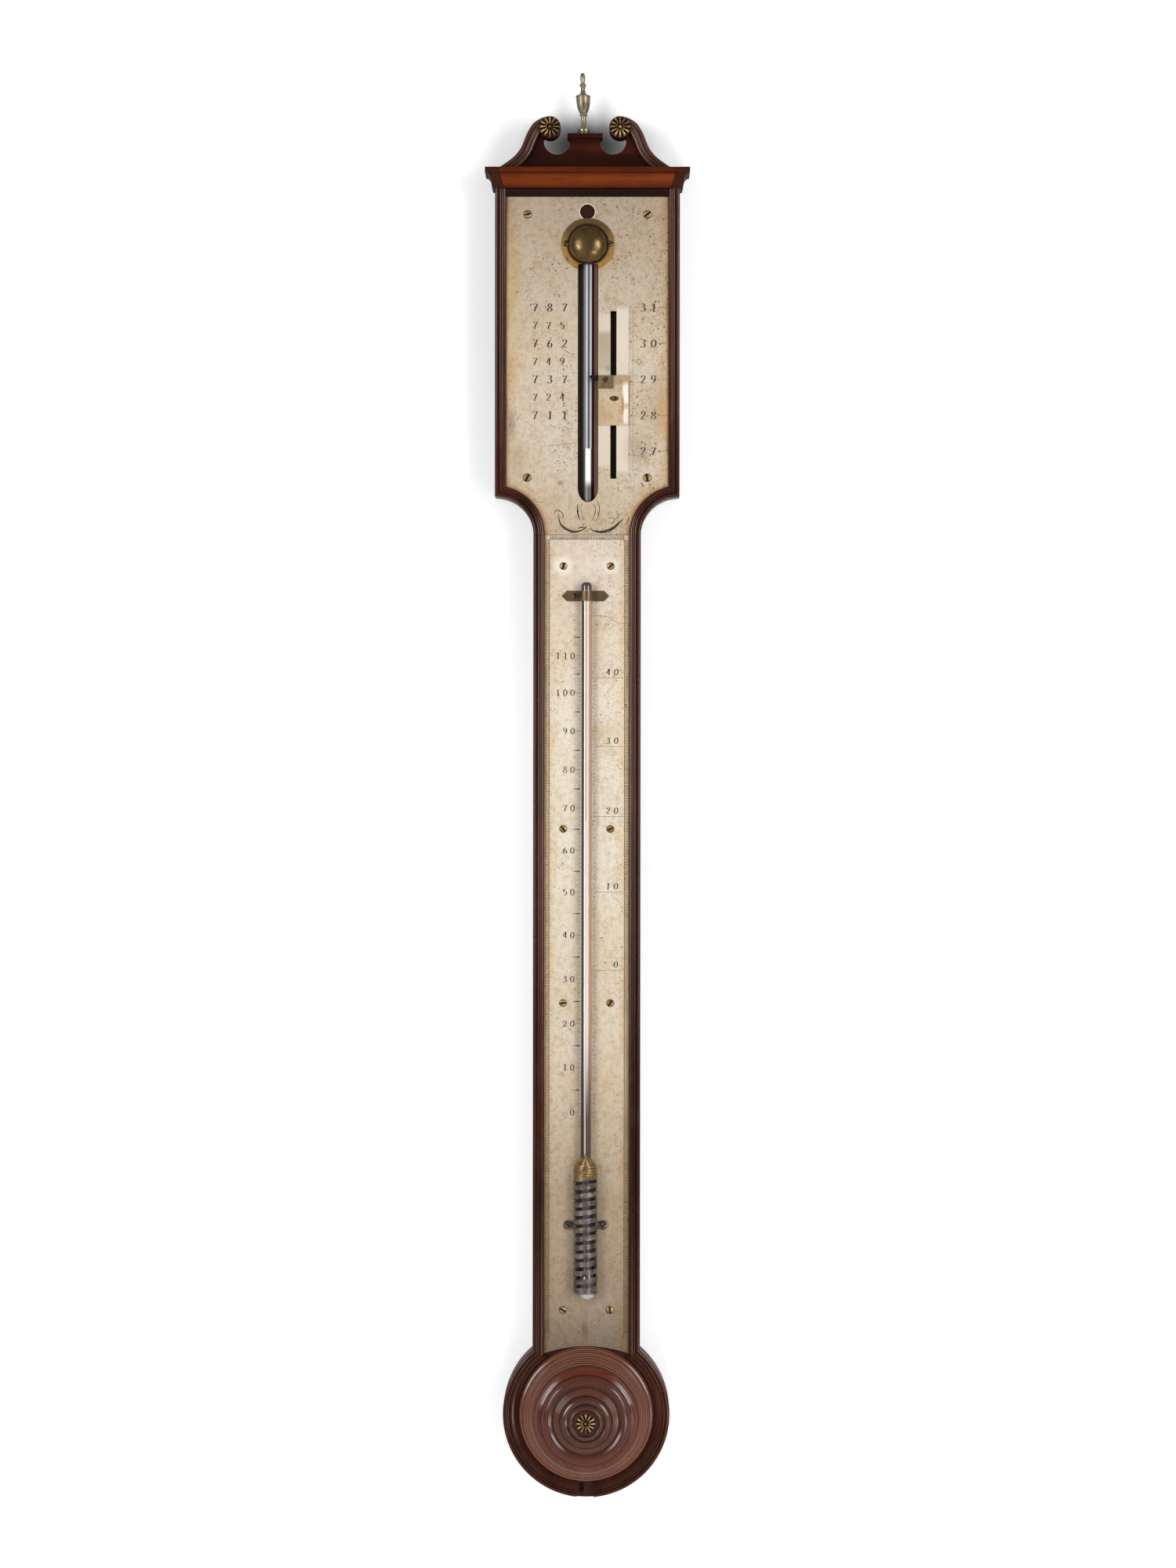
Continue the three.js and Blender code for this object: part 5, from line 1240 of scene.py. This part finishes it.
shell = make("guard_shell", *guard(), GUARD, node="bulb_guard", smooth=50)
thick = shell.modifiers.new("sheet", "SOLIDIFY")
thick.thickness = 0.8 * MM
thick.offset = 0
for side, tag in ((-1, "l"), (1, "r")):
    x = GUARD_X + side * 12.7
    neck = [(GUARD_X + side * 7.9, -714.4), (x, -714.0), (x, -720.2), (GUARD_X + side * 7.9, -719.8)]
    lug = [(0, PLATE), (3.35, PLATE), (3.35, PLATE + 0.55), (3.1, PLATE + 0.7), (0, PLATE + 0.7)]
    ear = merge(facing(lug, 32, x, LUG_Z), slab(neck, PLATE, PLATE + 0.6))
    make(f"guard_ear_{tag}", *ear, GUARD, bevel=0.1)
    screw(f"guard_screw_{tag}", x, LUG_Z, 2.0, PLATE + 0.7, 0.7, 40 * side, SCREW_DARK)


# Turned cistern cover
def bead(r0, h0, r1, h1, swell, steps=6):
    """Half-round reed between two points of a turned profile."""
    out_r, out_h = h1 - h0, r0 - r1
    size = math.hypot(out_r, out_h)
    points = []
    for i in range(1, steps):
        t = i / steps
        bulge = swell * math.sin(math.pi * t)
        points.append((r0 + (r1 - r0) * t + bulge * out_r / size, h0 + (h1 - h0) * t + bulge * out_h / size))
    return points + [(r1, h1)]


cover = [(0, 0), (COVER_R, 0), (COVER_R, 4.8), (47.3, 5.6), (46.6, 6.2), (45.3, 6.6), (45.0, 7.6)]
for reed in ((45.0, 7.8, 42.6, 11.6, 0.8), (42.5, 12.0, 40.6, 16.0, 0.7), (40.5, 16.4, 38.6, 20.4, 0.7),
             (38.5, 20.8, 37.3, 23.2, 0.5)):
    cover += bead(*reed)
cover += [(36.9, 24.2), (36.2, 24.6), (35.6, 25.8), (34.9, 28.8), (34.5, 29.2), (32.6, 29.9), (31.8, 30.2),
          (31.4, 32.5), (30.6, 34.4), (29.3, 35.7), (27.8, 36.2), (26.6, 36.2), (25.4, 35.8), (24.4, 35.2),
          (23.4, 35.3), (22.9, 36.1)]
for reed in ((22.8, 36.3, 21.6, 37.2, 0.35), (21.5, 37.3, 20.3, 38.1, 0.35), (20.2, 38.2, 19.0, 38.8, 0.35)):
    cover += bead(*reed)
cover += [(18.7, 39.2), (18.2, 40.7), (17.2, 42.2), (15.9, 43.0), (14.6, 43.2), (13.7, 42.8), (13.1, 42.7)]
cover += [(12.6, 43.4), (12.2, 44.4), (11.4, 45.4), (10.2, 45.95), (9.4, 45.7), (8.9, 44.9), (0, 44.85)]
cover = facing([(r, BOARD + h) for r, h in cover], 160, 0, BASE_Z)
make("cover", *cover, COVER, node="cistern_cover", smooth=42)
add_rosette("flower_cover", "rosette_cover", 6.85, BOARD + 44.85, 0, BASE_Z)
for name, x, z in (("pin_l", -43.9, -856.1), ("pin_r", 43.6, -849.4)):
    make(name, *facing([(0, BOARD + 6), (1.1, BOARD + 6), (1.1, BOARD + 9.6), (0, BOARD + 9.9)], 16, x, z),
         SCREW_DARK)

# Leather bag and the mercury in it
bag = [(0, -876), (4.5, -876), (8.64, -876), (9.6, -874), (10.6, -871.9), (11.4, -870), (11.7, -869.3),
       (11.7, -868.3), (10.7, -868.3), (10.4, -869.4), (9.6, -871.3), (8.6, -873.3),
       (7.64, -875), (4.5, -875), (0, -875)]
make("bag", *upright(bag, 48, TUBE_X, TUBE_DEPTH), LEATHER,
     ("case", "pad", place(0, 0, -868.5), place(0, 0, -875)), "cistern_leather", smooth=60)
pool = [(0, -874.7), (7.34, -874.7), (7.34, -873), (7.34, -871), (7.34, -868), (10.3, -867.7), (10.3, -855),
        (4.2, -855), (4.2, -864.3), (0, -864.3)]
make("pool", *upright(pool, 48, TUBE_X, TUBE_DEPTH), MERCURY,
     ("case", "pad", place(0, 0, -868), place(0, 0, -874.7)), "cistern_mercury", smooth=60)

# Inner pieces keep their shape and get their own finish
for material, nodes in (
        (BOXWOOD, ("cistern_cap", "cistern_body", "cistern_foot", "lifting_pad")),
        (SCREW_DARK, ("portable_screw", "hanging_screw_1", "hanging_screw_2")), (BRASS, ("vernier_slider",)),
        (STEEL, ("vernier_spring",)), (MERCURY, ("thermometer_mercury",)), (OLD_BRASS, ("hanging_plate",))):
    for node in nodes:
        dress(node, material)

# Camera
camera = bpy.data.cameras.new("camera")
eye = bpy.data.objects.new("camera", camera)
bpy.context.scene.collection.objects.link(eye)
bpy.context.scene.camera = eye
EYE = Vector((0.01357, -2.85, -0.43772))
TILT, YAW, ROLL = -0.00289, 0.00451, -0.00111
LONG_SIDE = 2000
FOCAL = 5095.3
eye.location = EYE
eye.rotation_euler = Euler((math.pi / 2 + TILT, ROLL, YAW), "XYZ")
camera.lens = camera.sensor_width * FOCAL / LONG_SIDE
camera.clip_start = 0.05

# Wall, floor and light
def stage_paint(name):
    """Pale paint that gives back some of its light, with painted shadow behind the pediment and a fainter
    one to the left of the head. It is clear from behind."""
    p = Paint(name)
    behind = p.spot(PED_X, CASE_TOP + 20, 35, 20, 0.75) * 0.98
    shade = p.maths("MAXIMUM", behind, p.spot(-70, -60, 60, 190, 0.95) * 0.16)
    p.color = p.ramp(p.noise(0.8, 2.0), ((0.3, 0.86), (0.7, 0.9)))
    p.lay(p.ray("Glossy"), 0.36)
    p.lay(shade, 0.1)
    p.finish(Roughness=0.9)
    plain = Value(p, p.shader.outputs[0])
    glow = p.get(0, "ShaderNodeEmission", {"Color": p.mix(shade, 1.0, 0.05), "Strength": 0.36})
    lit = p.get(0, "ShaderNodeAddShader", {0: plain, 1: glow})
    seen = p.get(0, "ShaderNodeMixShader", {0: p.ray("Camera"), 1: plain, 2: lit})
    back = p.get("Backfacing", "ShaderNodeNewGeometry")
    clear = p.get(0, "ShaderNodeBsdfTransparent")
    seen = p.get(0, "ShaderNodeMixShader", {0: back, 1: seen, 2: clear})
    p.put(p.tree.nodes["Material Output"].inputs["Surface"], seen)
    return p.owner


def sheet(name, corners, material):
    mesh = bpy.data.meshes.new(name)
    mesh.from_pydata(corners, [], [(0, 1, 2, 3)])
    mesh.materials.append(material)
    obj = bpy.data.objects.new(name, mesh)
    bpy.context.scene.collection.objects.link(obj)
    return obj


wall = sheet("wall", [(-3, 0.002, -1.3), (3, 0.002, -1.3), (3, 0.002, 2.5), (-3, 0.002, 2.5)],
             stage_paint("wall_white"))
wall.visible_shadow = False
sheet("floor", [(-3, -3, -1.3), (3, -3, -1.3), (3, 3, -1.3), (-3, 3, -1.3)], stage_paint("floor_pale"))


def lamp(name, where, aim, wide, high, power):
    light = bpy.data.lights.new(name, "AREA")
    light.shape = "RECTANGLE"
    light.size = wide
    light.size_y = high
    light.energy = power
    obj = bpy.data.objects.new(name, light)
    obj.location = where
    obj.rotation_euler = (Vector(aim) - Vector(where)).to_track_quat("-Z", "Y").to_euler()
    bpy.context.scene.collection.objects.link(obj)


lamp("window_right", (1.6, -1.85, -0.1), (0, 0, -0.25), 0.75, 1.2, 25)
lamp("window_left", (-1.6, -1.85, -0.1), (0, 0, -0.25), 0.75, 1.2, 27)
lamp("low", (0.95, -1.6, -1.2), (0, 0, -0.75), 0.6, 0.3, 4)
lamp("back", (0.8, 2.2, 0.8), (0, 0, -0.4), 1.6, 1.6, 22)

# White where it is seen, dim where it lights or is mirrored
bpy.context.scene.world = bpy.data.worlds.new("world")
sky = Paint("world", bpy.context.scene.world, "Background")
sky.color = 1.0
shown = sky.maths("MAXIMUM", sky.ray("Camera"), sky.ray("Transmission"))
glossy = sky.ray("Glossy").linear(0, 1, 0.32, 0.14)
sky.finish(Strength=shown.linear(0, 1, glossy, 1.0))
bpy.context.scene.view_settings.view_transform = "Standard"
